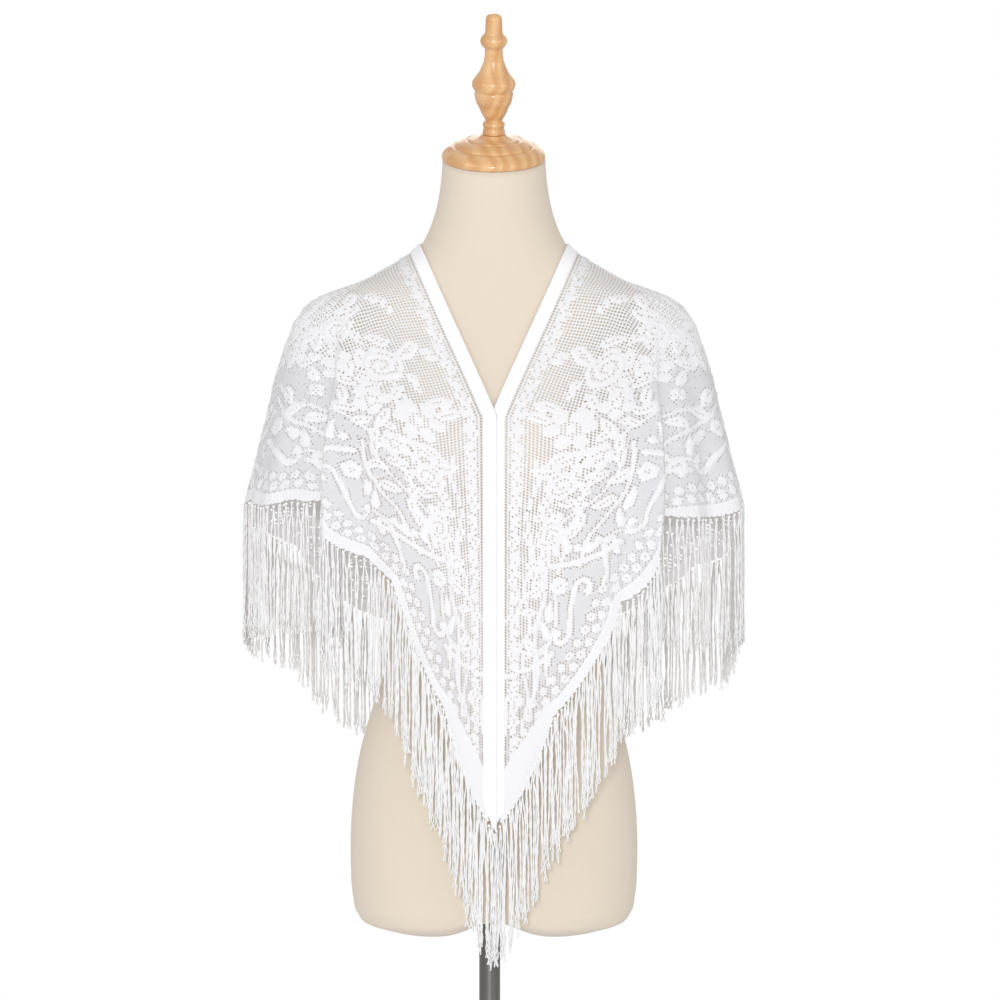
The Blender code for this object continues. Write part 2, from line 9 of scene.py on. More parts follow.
import bmesh
import bpy
import numpy as np
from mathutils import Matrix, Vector


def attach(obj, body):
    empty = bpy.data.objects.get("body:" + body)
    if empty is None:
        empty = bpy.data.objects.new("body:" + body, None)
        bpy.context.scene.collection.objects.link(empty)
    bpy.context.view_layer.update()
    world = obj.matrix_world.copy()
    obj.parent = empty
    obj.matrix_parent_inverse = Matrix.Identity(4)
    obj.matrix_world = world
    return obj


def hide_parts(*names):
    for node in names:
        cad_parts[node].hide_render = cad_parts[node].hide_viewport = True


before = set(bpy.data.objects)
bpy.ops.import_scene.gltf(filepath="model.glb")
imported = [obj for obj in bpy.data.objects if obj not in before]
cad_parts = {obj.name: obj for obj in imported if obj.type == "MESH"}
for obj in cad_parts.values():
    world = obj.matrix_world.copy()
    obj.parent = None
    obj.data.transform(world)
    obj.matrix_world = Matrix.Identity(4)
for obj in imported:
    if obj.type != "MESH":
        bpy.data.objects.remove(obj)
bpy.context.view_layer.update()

# ------------------------------------------------------------------ the flat cut
EDGE_HALF = 0.775
BACK_POINT = 0.50
HEM_LENGTH = math.hypot(EDGE_HALF, BACK_POINT)
BAND_WIDTH = 0.0134
SCALLOPS = 7
SCALLOP_DEPTH = 0.011
FRINGE_LENGTH = 0.143

NAPE_HEIGHT = 1.532
SIDE_NECK_HEIGHT = 1.5185
SIDE_NECK_X = 0.0780
V_HEIGHT = 1.3354

LAP = 0.003
LAP_LIFT = 0.0015
LAP_REACH = 0.040

# height, half_width, front, back, squareness
FORM_SECTIONS = (
    (0.8000, 0.1080, 0.0750, 0.0860, 2.15),
    (0.8070, 0.1320, 0.0940, 0.1080, 2.20),
    (0.8180, 0.1430, 0.1010, 0.1160, 2.25),
    (0.8360, 0.1478, 0.1035, 0.1190, 2.25),
    (0.8670, 0.1500, 0.1050, 0.1210, 2.25),
    (0.9100, 0.1497, 0.1050, 0.1190, 2.25),
    (0.9530, 0.1460, 0.1020, 0.1110, 2.25),
    (0.9920, 0.1390, 0.0965, 0.1000, 2.20),
    (1.0240, 0.1300, 0.0915, 0.0920, 2.15),
    (1.0600, 0.1180, 0.0875, 0.0845, 2.10),
    (1.1000, 0.1110, 0.0860, 0.0790, 2.10),
    (1.1500, 0.1140, 0.0930, 0.0835, 2.10),
    (1.2000, 0.1260, 0.1060, 0.0920, 2.15),
    (1.2500, 0.1410, 0.1185, 0.0995, 2.20),
    (1.3000, 0.1530, 0.1205, 0.1040, 2.25),
    (1.3500, 0.1610, 0.1080, 0.1050, 2.25),
    (1.4000, 0.1670, 0.0890, 0.1005, 2.20),
    (1.4300, 0.1700, 0.0785, 0.0950, 2.15),
    (1.4500, 0.1680, 0.0725, 0.0905, 2.10),
    (1.4650, 0.1570, 0.0685, 0.0865, 2.05),
    (1.4780, 0.1370, 0.0655, 0.0820, 2.00),
    (1.4905, 0.1140, 0.0625, 0.0775, 2.00),
    (1.5030, 0.0925, 0.0600, 0.0725, 2.00),
    (1.5160, 0.0770, 0.0580, 0.0675, 2.00),
    (1.5270, 0.0705, 0.0563, 0.0630, 2.00),
    (1.5400, 0.0650, 0.0545, 0.0585, 2.00),
    (1.5580, 0.0598, 0.0520, 0.0550, 2.00),
    (1.5750, 0.0567, 0.0505, 0.0525, 2.00),
    (1.5930, 0.0547, 0.0500, 0.0505, 2.00),
    (1.6075, 0.0540, 0.0500, 0.0500, 2.00),
)
NECK_TILT = math.radians(22)
TILT_START = 1.540
ARCH_HEIGHT = 0.017
ARCH_WIDTH = 0.034
ARCH_TOP = 0.845

# height, half_width, front, back, squareness
HANGING_SECTIONS = (
    (0.8800, 0.2950, 0.1350, 0.1310, 2.15),
    (1.0000, 0.2900, 0.1338, 0.1270, 2.15),
    (1.1000, 0.2830, 0.1325, 0.1235, 2.15),
    (1.2000, 0.2700, 0.1300, 0.1200, 2.15),
    (1.2500, 0.2605, 0.1275, 0.1175, 2.15),
    (1.3000, 0.2478, 0.1240, 0.1140, 2.15),
    (1.3400, 0.2380, 0.1158, 0.1115, 2.15),
    (1.3750, 0.2300, 0.1022, 0.1075, 2.10),
    (1.4000, 0.2225, 0.0925, 0.1040, 2.10),
    (1.4200, 0.2155, 0.0850, 0.1000, 2.08),
    (1.4400, 0.2070, 0.0785, 0.0955, 2.05),
    (1.4550, 0.1940, 0.0738, 0.0920, 2.02),
    (1.4665, 0.1740, 0.0705, 0.0890, 2.00),
)
REST = 0.0014
REST_FROM, REST_TO = 1.470, 1.545
CLOTH_SECTIONS = HANGING_SECTIONS + tuple(
    (height + REST, half_width + REST, front + REST, back + REST, square)
    for height, half_width, front, back, square in FORM_SECTIONS
    if REST_FROM < height < REST_TO
)

# round, wearer's right, wearer's left
HEM_HEIGHTS = (
    (0.000, 1.0400, 1.0400),
    (0.100, 1.1040, 1.1040),
    (0.200, 1.1570, 1.1550),
    (0.300, 1.2060, 1.1840),
    (0.360, 1.2250, 1.2030),
    (0.420, 1.2380, 1.2260),
    (0.500, 1.2480, 1.2480),
    (0.580, 1.2510, 1.2500),
    (0.660, 1.2530, 1.2430),
    (0.725, 1.2580, 1.2390),
    (0.765, 1.2500, 1.2330),
    (0.800, 1.2360, 1.2210),
    (0.830, 1.2190, 1.2020),
    (0.861, 1.1930, 1.1400),
    (0.895, 1.1590, 1.0980),
    (0.944, 1.0560, 1.0250),
    (1.000, 0.9150, 0.9150),
)

# side, round_top, round_hem, half_span, swing, lift, start
LAPPED_FOLDS = (
    (-1, 0.700, 0.798, 0.054, 0.0255, 0.0068, 0.30),
    (+1, 0.672, 0.806, 0.052, 0.0235, 0.0068, 0.34),
)

# side, round_top, round_hem, half_span, lift, start
SOFT_FOLDS = (
    (-1, 0.880, 0.900, 0.040, 0.0060, 0.35),
    (-1, 0.930, 0.945, 0.030, -0.0035, 0.40),
    (-1, 0.620, 0.665, 0.045, 0.0050, 0.45),
    (-1, 0.560, 0.560, 0.050, -0.0040, 0.35),
    (-1, 0.370, 0.390, 0.060, 0.0080, 0.30),
    (-1, 0.240, 0.270, 0.060, -0.0060, 0.35),
    (-1, 0.120, 0.130, 0.070, 0.0070, 0.30),
    (+1, 0.900, 0.885, 0.045, 0.0050, 0.40),
    (+1, 0.935, 0.950, 0.026, -0.0030, 0.45),
    (+1, 0.610, 0.680, 0.040, -0.0070, 0.40),
    (+1, 0.570, 0.610, 0.045, 0.0070, 0.40),
    (+1, 0.420, 0.430, 0.055, -0.0050, 0.30),
    (+1, 0.310, 0.330, 0.060, 0.0070, 0.35),
    (+1, 0.160, 0.180, 0.060, -0.0060, 0.30),
    (+1, 0.040, 0.050, 0.060, 0.0050, 0.40),
)

# ------------------------------------------------------------------ the lace
CELL_U, CELL_V = 0.0030, 0.0032       # diagonals of one diamond cell
NET_OPEN = 0.84                       # a net hole's share of its cell
OUTLINE_OPEN = 0.66                   # of the holes round a motif
OUTLINE_FROM, OUTLINE_TO = 0.0004, 0.0030
PIN_OPEN = 0.58
LEAST_OPEN = 0.12
MOTIF_LIFT = 0.0009
UNDER_BAND = 0.0030                   # the lace goes this far under the band
SPLIT_U = 0.235                       # each half is two meshes, parted here
NET_LEAN = 0.42                       # the net's rows lean with the cloth in front
GARLAND_GROUND = 0.018                # the close ground starts this far under the garland's stem
HEM_BAND = 0.0125
HEM_RING_PITCH, HEM_RING_IN = 0.0094, 0.0062      # fine rings in relief along the plain hem
HEM_RING_RADIUS, HEM_RING_HALF = 0.0027, 0.0007
SEED_ROW, SEED_ROW_SHARE = 0.0128, 0.24           # rows of pinholes in the close ground
SEED_STEP, SEED_STEP_SHARE = 0.0068, 0.45
SEEDS_FROM = 0.074
STRIP = 0.020                         # open strip beside the band
LIGHT_PASSED, YARN_PASSED = 0.22, 0.10    # shares of light that lace and yarn let through

KNOT_PITCH = 0.0068
YARN_RADIUS = 0.00066
KNOT_RADIUS = 0.0016
KNOT_DROP = 0.0028                    # the knots hang this far under the hem
TWIST_LENGTH = 0.026


# ================================================================== the draped surface
def curve_through(knots, values, slopes, at):
    """The curve that has these values and slopes at its knots."""
    i = np.clip(np.searchsorted(knots, at, side="right") - 1, 0, len(knots) - 2)
    span = knots[i + 1] - knots[i]
    f = ((at - knots[i]) / span)[..., None]
    span = span[..., None]
    return ((1 + 2 * f) * (1 - f) ** 2 * values[i] + f * (1 - f) ** 2 * span * slopes[i]
            + f * f * (3 - 2 * f) * values[i + 1] + f * f * (f - 1) * span * slopes[i + 1])


def smooth_columns(table, at):
    """The columns after a table's first, read smoothly at places in the first."""
    rows = np.array(table)
    knots, values = rows[:, 0], rows[:, 1:]
    at = np.clip(np.asarray(at, dtype=float), knots[0], knots[-1])
    return curve_through(knots, values, np.gradient(values, knots, axis=0), at)


def read_grid(grid, i, j):
    """A grid read between its rows and columns."""
    i = np.clip(i, 0, grid.shape[0] - 1.000001)
    j = np.clip(j, 0, grid.shape[1] - 1.000001)
    i0, j0 = i.astype(int), j.astype(int)
    fi, fj = i - i0, j - j0
    return ((grid[i0, j0] * (1 - fj) + grid[i0, j0 + 1] * fj) * (1 - fi)
            + (grid[i0 + 1, j0] * (1 - fj) + grid[i0 + 1, j0 + 1] * fj) * fi)


# Where a turn round the body (0 behind, 1 in front) meets a section: a superellipse.
def on_section(table, height, turn, side=1):
    half_width, front, back, square = np.moveaxis(smooth_columns(table, height), -1, 0)
    sine, cosine = np.sin(np.pi * turn), np.cos(np.pi * turn)
    power = 2 / square
    x = side * half_width * np.abs(sine) ** power
    y = np.where(cosine > 0, back, front) * np.sign(cosine) * np.abs(cosine) ** power
    return x, y


def smooth_step(low, high, value):
    f = np.clip((value - low) / (high - low), 0, 1)
    return f * f * (3 - 2 * f)


def neckline_height(turn):
    low, high = np.full_like(turn, V_HEIGHT), np.full_like(turn, NAPE_HEIGHT)
    for _ in range(40):
        middle = (low + high) / 2
        edge_x = SIDE_NECK_X * (middle - V_HEIGHT) / (SIDE_NECK_HEIGHT - V_HEIGHT)
        outside = edge_x > on_section(CLOTH_SECTIONS, middle, turn)[0]
        high = np.where(outside, middle, high)
        low = np.where(outside, low, middle)
    behind = NAPE_HEIGHT + (SIDE_NECK_HEIGHT - NAPE_HEIGHT) * np.sin(np.pi * turn) ** 2
    return np.where(turn > 0.5, low, behind)


class Half:
    """One half of the shawl. Ribs run from the long edge to the hem, at the same turn round
    the body; a place on it is (turn, down), and down is 1 at the hem between two scallops."""

    TURNS = 321
    STEPS = 161
    BELOW_HEM = 0.05
    PLACES, SHARES = 241, 161
    LAST_EVEN = 0.985
    NUDGE = 0.004

    def __init__(self, side):
        self.side = side
        self.turns = np.linspace(0, 1, self.TURNS)
        top = neckline_height(self.turns)
        hem = smooth_columns(HEM_HEIGHTS, self.turns)[:, 0 if side < 0 else 1]
        share = np.linspace(0, 1, self.STEPS)
        heights = top[:, None] + (hem - self.BELOW_HEM - top)[:, None] * share
        x, y = on_section(CLOTH_SECTIONS, heights, self.turns[:, None])
        steps = np.sqrt(np.diff(x) ** 2 + np.diff(y) ** 2 + np.diff(heights) ** 2)
        lengths = np.concatenate([np.zeros((self.TURNS, 1)), np.cumsum(steps, axis=1)], axis=1)
        self.downs = np.linspace(0, 1.1, 89)
        self.heights = np.empty((self.TURNS, len(self.downs)))
        for i in range(self.TURNS):
            to_hem = np.interp(-hem[i], -heights[i], lengths[i])
            self.heights[i] = np.interp(self.downs * to_hem, lengths[i], heights[i])
        self.edge_u = self.run(self.at(self.turns, np.zeros(self.TURNS)))
        self.hem_share = self.run(self.at(self.turns, np.ones(self.TURNS)))
        self.hem_share /= self.hem_share[-1]
        self.shares = np.empty((self.PLACES, self.SHARES))
        self.even_out()

    @staticmethod
    def run(points):
        steps = np.linalg.norm(np.diff(points, axis=0), axis=1)
        return np.concatenate([[0], np.cumsum(steps)])

    def at(self, turn, down):
        turn, down = np.broadcast_arrays(np.asarray(turn, float), np.asarray(down, float))
        z = read_grid(self.heights, turn * (self.TURNS - 1), down / self.downs[1])
        x, y = on_section(CLOTH_SECTIONS, z, turn)
        x2, y2 = on_section(CLOTH_SECTIONS, z, np.clip(turn + self.NUDGE, 0, 1))
        x1, y1 = on_section(CLOTH_SECTIONS, z, np.clip(turn - self.NUDGE, 0, 1))
        along = np.hypot(x2 - x1, y2 - y1)
        tx, ty = (x1 - x2) / along, (y1 - y2) / along
        sideways, lift = self.folds(turn, down)
        out_x, out_y = ty, -tx
        x = x + tx * sideways + out_x * lift
        y = y + ty * sideways + out_y * lift
        near_front = np.exp(-(x / LAP_REACH) ** 2) * (turn > 0.5)
        x = self.side * x - self.side * LAP * near_front
        y = y + self.side * LAP_LIFT * near_front
        return np.stack([x, y, z], axis=-1)

    def folds(self, turn, down):
        sideways, lift = np.zeros_like(turn), np.zeros_like(turn)
        for side, top, hem, half_span, swing, rise, start in LAPPED_FOLDS:
            if side != self.side:
                continue
            grown = smooth_step(start, 1.0, down) ** 0.8
            p = np.clip((top + (hem - top) * down - turn) / half_span, -1, 1)
            sideways = sideways - swing * grown * np.sin(np.pi * p)
            lift = lift - rise * grown * np.sin(np.pi * p)
        for side, top, hem, half_span, rise, start in SOFT_FOLDS:
            if side != self.side:
                continue
            grown = smooth_step(start, 1.1, down)
            p = np.clip((top + (hem - top) * down - turn) / half_span, -1, 1)
            lift = lift + rise * grown * np.cos(np.pi * p / 2) ** 2
        return sideways, lift * smooth_step(0, 0.05, turn)

    def rib_ends(self, turn):
        start = np.interp(turn, self.turns, self.edge_u)
        share = np.interp(turn, self.turns, self.hem_share)
        return start, EDGE_HALF * share, BACK_POINT * (1 - share)

    def rib_through(self, u, v):
        """The rib through a point of the flat cut, and how far down it the point is."""
        low, high = np.zeros_like(u), np.ones_like(u)
        for _ in range(30):
            middle = (low + high) / 2
            start, end_u, end_v = self.rib_ends(middle)
            behind = (end_u - start) * v - end_v * (u - start) > 0
            high = np.where(behind, middle, high)
            low = np.where(behind, low, middle)
        start, end_u, end_v = self.rib_ends(low)
        return low, np.hypot(u - start, v) / np.hypot(end_u - start, end_v)

    def even_out(self):
        """For places along the long edge, which share of the way to the hem each v lies at: the
        band keeps its true width, and the lace gives evenly from there to the hem."""
        shares = np.linspace(0, 1, self.SHARES)
        u = np.linspace(0, EDGE_HALF * self.LAST_EVEN, self.PLACES)[:, None]
        to_hem = BACK_POINT * (1 - u / EDGE_HALF)
        line = self.at(*self.rib_through(*np.broadcast_arrays(u, to_hem * shares)))
        steps = np.linalg.norm(np.diff(line, axis=1), axis=2)
        run = np.concatenate([np.zeros((len(u), 1)), np.cumsum(steps, axis=1)], axis=1)
        edge_way = np.gradient(line[:, 0], axis=0)
        edge_way /= np.linalg.norm(edge_way, axis=1, keepdims=True)
        inward = line[:, 1:] - line[:, :1]
        off_edge = np.linalg.norm(np.cross(inward, edge_way[:, None]), axis=2)
        for i in range(len(u)):
            across = np.concatenate([[0], np.maximum.accumulate(off_edge[i])])
            band_run = np.interp(BAND_WIDTH, across, run[i])
            band_v = min(BAND_WIDTH, to_hem[i, 0] * 0.9)
            wanted_v = to_hem[i, 0] * shares
            wanted_run = np.interp(wanted_v, (0, band_v, to_hem[i, 0]), (0, band_run, run[i, -1]))
            self.shares[i] = np.interp(wanted_run, run[i], shares)

    def evened(self, u, v):
        """The v at which the ribs hold a point of the flat cut."""
        to_hem = np.maximum(BACK_POINT * (1 - u / EDGE_HALF), 1e-6)
        share = read_grid(self.shares, u / (EDGE_HALF * self.LAST_EVEN) * (self.PLACES - 1),
                          v / to_hem * (self.SHARES - 1))
        return share * to_hem + np.maximum(v - to_hem, 0)

    def outward(self, turn, down):
        nudge = self.NUDGE / 2
        low, high = np.clip(turn - nudge, 0, 1), np.clip(turn + nudge, 0, 1)
        round_it = self.at(high, down) - self.at(low, down)
        along = self.at(turn, down + nudge) - self.at(turn, np.maximum(down - nudge, 0))
        normal = np.cross(round_it, along) * self.side
        return normal / np.maximum(np.linalg.norm(normal, axis=-1, keepdims=True), 1e-12)

    def drape(self, u, v, lift=0.0):
        """Points of the flat cut on the body, lifted off the cloth's middle surface."""
        u, v, lift = np.broadcast_arrays(*(np.asarray(a, float) for a in (u, v, lift)))
        u, v = np.maximum(u, 0), np.maximum(v, 0)
        turn, down = self.rib_through(u, self.evened(u, v))
        points = self.at(turn, down)
        return points + self.outward(turn, down) * lift[..., None]

    def turn_of_share(self, share):
        return np.interp(share, self.hem_share, self.turns)

    def hem_down(self, turn):
        start, end_u, end_v = self.rib_ends(turn)
        lobe = np.abs(np.sin(np.pi * SCALLOPS * end_u / EDGE_HALF))
        return 1 + SCALLOP_DEPTH * lobe ** 0.8 / np.hypot(end_u - start, end_v)


# ================================================================== mesh helpers
def in_scene(name, data):
    obj = bpy.data.objects.new(name, data)
    bpy.context.scene.collection.objects.link(obj)
    return obj


def new_object(name, mesh, material):
    mesh.shade_smooth()
    mesh.materials.append(material)
    return in_scene(name, mesh)


def mesh_from_arrays(name, points, corner_lists):
    """A mesh of many faces from arrays: one (faces, corners) array for each face size."""
    mesh = bpy.data.meshes.new(name)
    corners = np.concatenate([a.ravel() for a in corner_lists]).astype(np.int32)
    totals = np.concatenate([np.full(len(a), a.shape[1]) for a in corner_lists])
    starts = np.concatenate([[0], np.cumsum(totals)[:-1]]).astype(np.int32)
    mesh.vertices.add(len(points))
    mesh.vertices.foreach_set("co", np.asarray(points, np.float32).ravel())
    mesh.loops.add(len(corners))
    mesh.loops.foreach_set("vertex_index", corners)
    mesh.polygons.add(len(totals))
    mesh.polygons.foreach_set("loop_start", starts)
    mesh.update(calc_edges=True)
    mesh.validate()
    return mesh


def add_flat_uv(mesh, u, v):
    """Stores the flat cut's u and v, in metres, as the mesh's UV map."""
    layer = mesh.uv_layers.new(name="flat")
    corner = np.empty(len(mesh.loops), np.int32)
    mesh.loops.foreach_get("vertex_index", corner)
    layer.data.foreach_set("uv", np.stack([u[corner], v[corner]], axis=-1).astype(np.float32).ravel())


def loft(rings):
    """A closed body through rings of equal length."""
    bm = bmesh.new()
    loops = [[bm.verts.new(p) for p in ring] for ring in rings]
    count = len(loops[0])
    for below, above in zip(loops, loops[1:]):
        for i in range(count):
            j = (i + 1) % count
            bm.faces.new((below[i], above[i], above[j], below[j]))
    bm.faces.new(loops[-1])
    bm.faces.new(list(reversed(loops[0])))
    bmesh.ops.recalc_face_normals(bm, faces=bm.faces)
    return bm


def bm_object(name, bm, material):
    mesh = bpy.data.meshes.new(name)
    bm.to_mesh(mesh)
    bm.free()
    return new_object(name, mesh, material)


# ================================================================== shader maths
class Value:
    """A shader socket that can be used in Python expressions."""

    def __init__(self, tree, socket):
        self.tree, self.socket = tree, socket

    def math(self, operation, *others, clamp=False):
        node = self.tree.nodes.new("ShaderNodeMath")
        node.operation, node.use_clamp = operation, clamp
        for place, item in zip(node.inputs, (self, *others)):
            if isinstance(item, Value):
                self.tree.links.new(item.socket, place)
            else:
                place.default_value = item
        return Value(self.tree, node.outputs[0])

    def __add__(self, other):
        return self.math("ADD", other)

    def __mul__(self, other):
        return self.math("MULTIPLY", other)

    __radd__ = __add__
    __rmul__ = __mul__

    def sin(self):
        return self.math("SINE")

    def clamp(self):
        return self.math("ADD", 0.0, clamp=True)

    def smooth(self, low, high):
        node = self.tree.nodes.new("ShaderNodeMapRange")
        node.interpolation_type = "SMOOTHSTEP"
        self.tree.links.new(self.socket, node.inputs["Value"])
        node.inputs["From Min"].default_value = low
        node.inputs["From Max"].default_value = high
        return Value(self.tree, node.outputs["Result"])


class Finish:
    """A Principled material and the few ways of wiring it that are used here."""

    def __init__(self, name, **constants):
        self.material = bpy.data.materials.new(name)
        self.material.use_nodes = True
        self.tree = self.material.node_tree
        self.shader = self.tree.nodes["Principled BSDF"]
        for socket, value in constants.items():
            self.shader.inputs[socket.replace("_", " ")].default_value = value

    def node(self, kind, settings=None, **sockets):
        node = self.tree.nodes.new(kind)
        for key, value in (settings or {}).items():
            setattr(node, key, value)
        for key, value in sockets.items():
            place = node.inputs[key.replace("_", " ")]
            if isinstance(value, Value):
                self.tree.links.new(value.socket, place)
            else:
                place.default_value = value
        return node

    def out(self, node, name=0):
        return Value(self.tree, node.outputs[name])

    def coords(self, kind="Object", scale=(1, 1, 1), turn=(0, 0, 0)):
        source = self.node("ShaderNodeTexCoord")
        mapping = self.node("ShaderNodeMapping", Vector=self.out(source, kind))
        mapping.inputs["Scale"].default_value = scale
        mapping.inputs["Rotation"].default_value = turn
        return self.out(mapping)

    def parts(self, vector):
        node = self.node("ShaderNodeSeparateXYZ", Vector=vector)
        return [self.out(node, axis) for axis in "XYZ"]

    def noise(self, vector, scale, detail=2.0):
        node = self.node("ShaderNodeTexNoise", Vector=vector, Scale=scale, Detail=detail)
        return self.out(node, "Fac")

    def blend(self, amount, first, second):
        node = self.node("ShaderNodeMix", {"data_type": "RGBA"})
        for place, value in ((node.inputs[0], amount), (node.inputs[6], first),
                             (node.inputs[7], second)):
            if isinstance(value, Value):
                self.tree.links.new(value.socket, place)
            else:
                place.default_value = value if place.type != "RGBA" else (*value, 1)
        return Value(self.tree, node.outputs[2])

    def feed(self, socket, value):
        self.tree.links.new(value.socket, self.shader.inputs[socket])

    def bump(self, height, distance, strength=1.0):
        node = self.node("ShaderNodeBump", Height=height, Distance=distance, Strength=strength)
        self.feed("Normal", self.out(node, "Normal"))

    def pass_light(self, share, color):
        """Mixes in a share of the light behind, because thin yarn lets light pass."""
        behind = self.node("ShaderNodeBsdfTranslucent", Color=(*color, 1))
        mix = self.node("ShaderNodeMixShader", Fac=share)
        output = self.tree.nodes["Material Output"]
        for source, socket in ((self.shader, mix.inputs[1]), (behind, mix.inputs[2]),
                               (mix, output.inputs["Surface"])):
            self.tree.links.new(source.outputs[0], socket)


def lace_finish():
    """Matt white knitted lace. Its thin ground is painted greyer: painted shade for the shadow
    between cloth and form seen through it. The low parts of motifs get some painted shade too.
    """
    finish = Finish("lace_yarn", Roughness=0.78, Sheen_Weight=0.2, Sheen_Roughness=0.5,
                    Specular_IOR_Level=0.25)
    thin_shade = finish.out(finish.node("ShaderNodeAttribute", {"attribute_name": "thin_shade"}), "Fac")
    where = finish.coords("UV")
    patch = finish.noise(where, 40.0, 3.0)
    # painted shade: the thin ground's grey stands for the shadow behind the cloth showing through;
    # the noise varies it in patches
    ground = finish.blend(patch, (0.710, 0.710, 0.750), (0.800, 0.800, 0.830))
    finish.feed("Base Color", finish.blend(thin_shade.clamp(), (0.945, 0.945, 0.975), ground))
    x, y, _ = finish.parts(where)
    stitch = (x * (2 * math.pi / 0.0011)).sin() * (y * (2 * math.pi / 0.0013)).sin()
    finish.bump(stitch, 0.00012, 0.5)
    finish.pass_light(LIGHT_PASSED, (0.95, 0.95, 0.96))
    return finish.material


def fringe_finish():
    """Soft white twisted yarn."""
    finish = Finish("fringe_yarn", Roughness=0.6, Sheen_Weight=0.3, Sheen_Roughness=0.5,
                    Specular_IOR_Level=0.35)
    where = finish.coords("Object")
    patch = finish.noise(where, 60.0, 2.0)
    finish.feed("Base Color", finish.blend(patch, (0.955, 0.95, 0.955), (0.91, 0.90, 0.90)))
    x, y, z = finish.parts(where)
    finish.bump(((x + y) * 2500.0 + z * 3600.0).sin(), 0.00012, 0.5)
    finish.pass_light(YARN_PASSED, (0.95, 0.95, 0.95))
    return finish.material


def band_finish():
    finish = Finish("band_knit", Roughness=0.8, Sheen_Weight=0.2, Sheen_Roughness=0.5,
                    Specular_IOR_Level=0.3)
    where = finish.coords("UV")
    x, y, _ = finish.parts(where)
    finish.feed("Base Color", finish.blend(finish.noise(where, 80.0), (0.93, 0.93, 0.955),
                                           (0.90, 0.90, 0.93)))
    rib = (y * (2 * math.pi / 0.0012)).sin() + 0.5 * (x * (2 * math.pi / 0.0016)).sin()
    finish.bump(rib, 0.00010, 0.6)
    return finish.material


def cover_finish():
    """Fine beige jersey over the form."""
    finish = Finish("form_jersey", Roughness=0.85, Sheen_Weight=0.15, Sheen_Roughness=0.6,
                    Specular_IOR_Level=0.25)
    where = finish.coords("Object")
    broad = finish.noise(where, 6.0, 3.0)
    fine = finish.noise(where, 220.0, 2.0)
    base = finish.blend(broad, (0.700, 0.612, 0.505), (0.740, 0.655, 0.548))
    finish.feed("Base Color", finish.blend((fine * 0.35), base, (0.65, 0.56, 0.45)))
    x, _, z = finish.parts(where)
    knit = (x * 4200.0).sin() * (z * 4200.0).sin()
    finish.bump(knit * 0.4 + fine, 0.00015, 0.5)
    return finish.material


def oak_finish():
    """Light oak under clear gloss lacquer."""
    finish = Finish("lacquered_oak", Roughness=0.38, Coat_Weight=0.55, Coat_Roughness=0.12)
    where = finish.coords("Object", scale=(1, 1, 0.16), turn=(math.radians(12), 0, 0))
    warp = finish.noise(where, 30.0, 3.0)
    x, y, _ = finish.parts(where)
    rings = ((x * 420.0 + y * 300.0 + warp * 9.0)).sin() * 0.5 + 0.5
    pores = finish.noise(finish.coords("Object", scale=(1, 1, 0.08)), 900.0, 2.0)
    base = finish.blend(rings, (0.640, 0.335, 0.135), (0.745, 0.455, 0.215))
    finish.feed("Base Color", finish.blend(pores.smooth(0.56, 0.72) * 0.5, base,
                                           (0.42, 0.20, 0.07)))
    finish.bump(pores, 0.0001, 0.25)
    return finish.material


def steel_finish():
    finish = Finish("dark_steel", Metallic=1.0)
    where = finish.coords("Object", scale=(1, 1, 0.05))
    streak = finish.noise(where, 400.0, 2.0)
    finish.feed("Base Color", finish.blend(streak, (0.16, 0.155, 0.145), (0.24, 0.235, 0.22)))
    finish.feed("Roughness", streak * 0.14 + 0.22)
    return finish.material


def floor_finish():
    finish = Finish("studio_floor", Roughness=0.9, Specular_IOR_Level=0.1)
    where = finish.coords("Object")
    finish.feed("Base Color", finish.blend(finish.noise(where, 3.0), (0.90, 0.90, 0.90),
                                           (0.93, 0.93, 0.93)))
    return finish.material


# ================================================================== the lace pattern
# A motif gives, for points in its own frame (x, y in units of its size): how far outside its
# edge the point is, how high it stands there, and where a pinhole falls.
def polar(x, y):
    return np.hypot(x, y), np.arctan2(y, x)


def past_two_points(x, y, width):
    """How far outside a shape with a point at each end of x and this half width."""
    return np.where(np.abs(x) < 1, np.abs(y) - width, np.hypot(np.abs(x) - 1, y) + 0.02)


def rose(x, y):
    r, angle = polar(x, y)
    edge = 0.86 + 0.14 * np.abs(np.cos(2.5 * angle + 0.4))
    spiral = (r * 2.6 + angle / (2 * np.pi)) % 1.0
    pin = (np.abs(spiral - 0.5) < 0.20) & (r < 0.80 * edge) & (r > 0.16)
    height = 0.45 + 0.55 * np.cos(2 * np.pi * spiral)
    return r - edge, height, pin


def petals(count, waist):
    def motif(x, y):
        r, angle = polar(x, y)
        wave = np.abs(np.cos(count * angle / 2))
        edge = waist + (1 - waist) * wave ** 0.6
        ring = np.abs(r - 0.29) < 0.09
        parting = (wave < 0.34) & (r > 0.30) & (r < 0.90 * edge)
        height = np.clip(1.1 - (r / edge) ** 2, 0, 1) * (0.3 + 0.7 * wave)
        height = np.where(r < 0.2, 1.0, height)
        return r - edge, height, ring | parting
    return motif


def ring_flower(x, y):
    """A small flower drawn only by its holes."""
    r, angle = polar(x, y)
    edge = 0.78 + 0.22 * np.abs(np.cos(2.5 * angle))
    height = np.clip(1 - np.abs(r - 0.62) * 3.5, 0, 1)
    return r - edge, height, r < 0.24


def leaf(x, y):
    width = 0.42 * np.clip(1 - x * x, 0, 1) ** 0.75 * (1 - 0.3 * x)
    vein = (np.abs(y) < 0.10) & (np.abs(x) < 0.55)
    height = np.clip(0.30 + 1.7 * np.abs(y) / (width + 0.05), 0, 1)
    return past_two_points(x, y, width), height, vein


def drop(x, y):
    width = 0.36 * np.sqrt(np.clip(1 - x * x, 0, 1)) * (1 + 0.55 * x)
    height = np.clip(1 - (y / (width + 0.02)) ** 2, 0, 1)
    return past_two_points(x, y, width), height, np.zeros_like(x, bool)


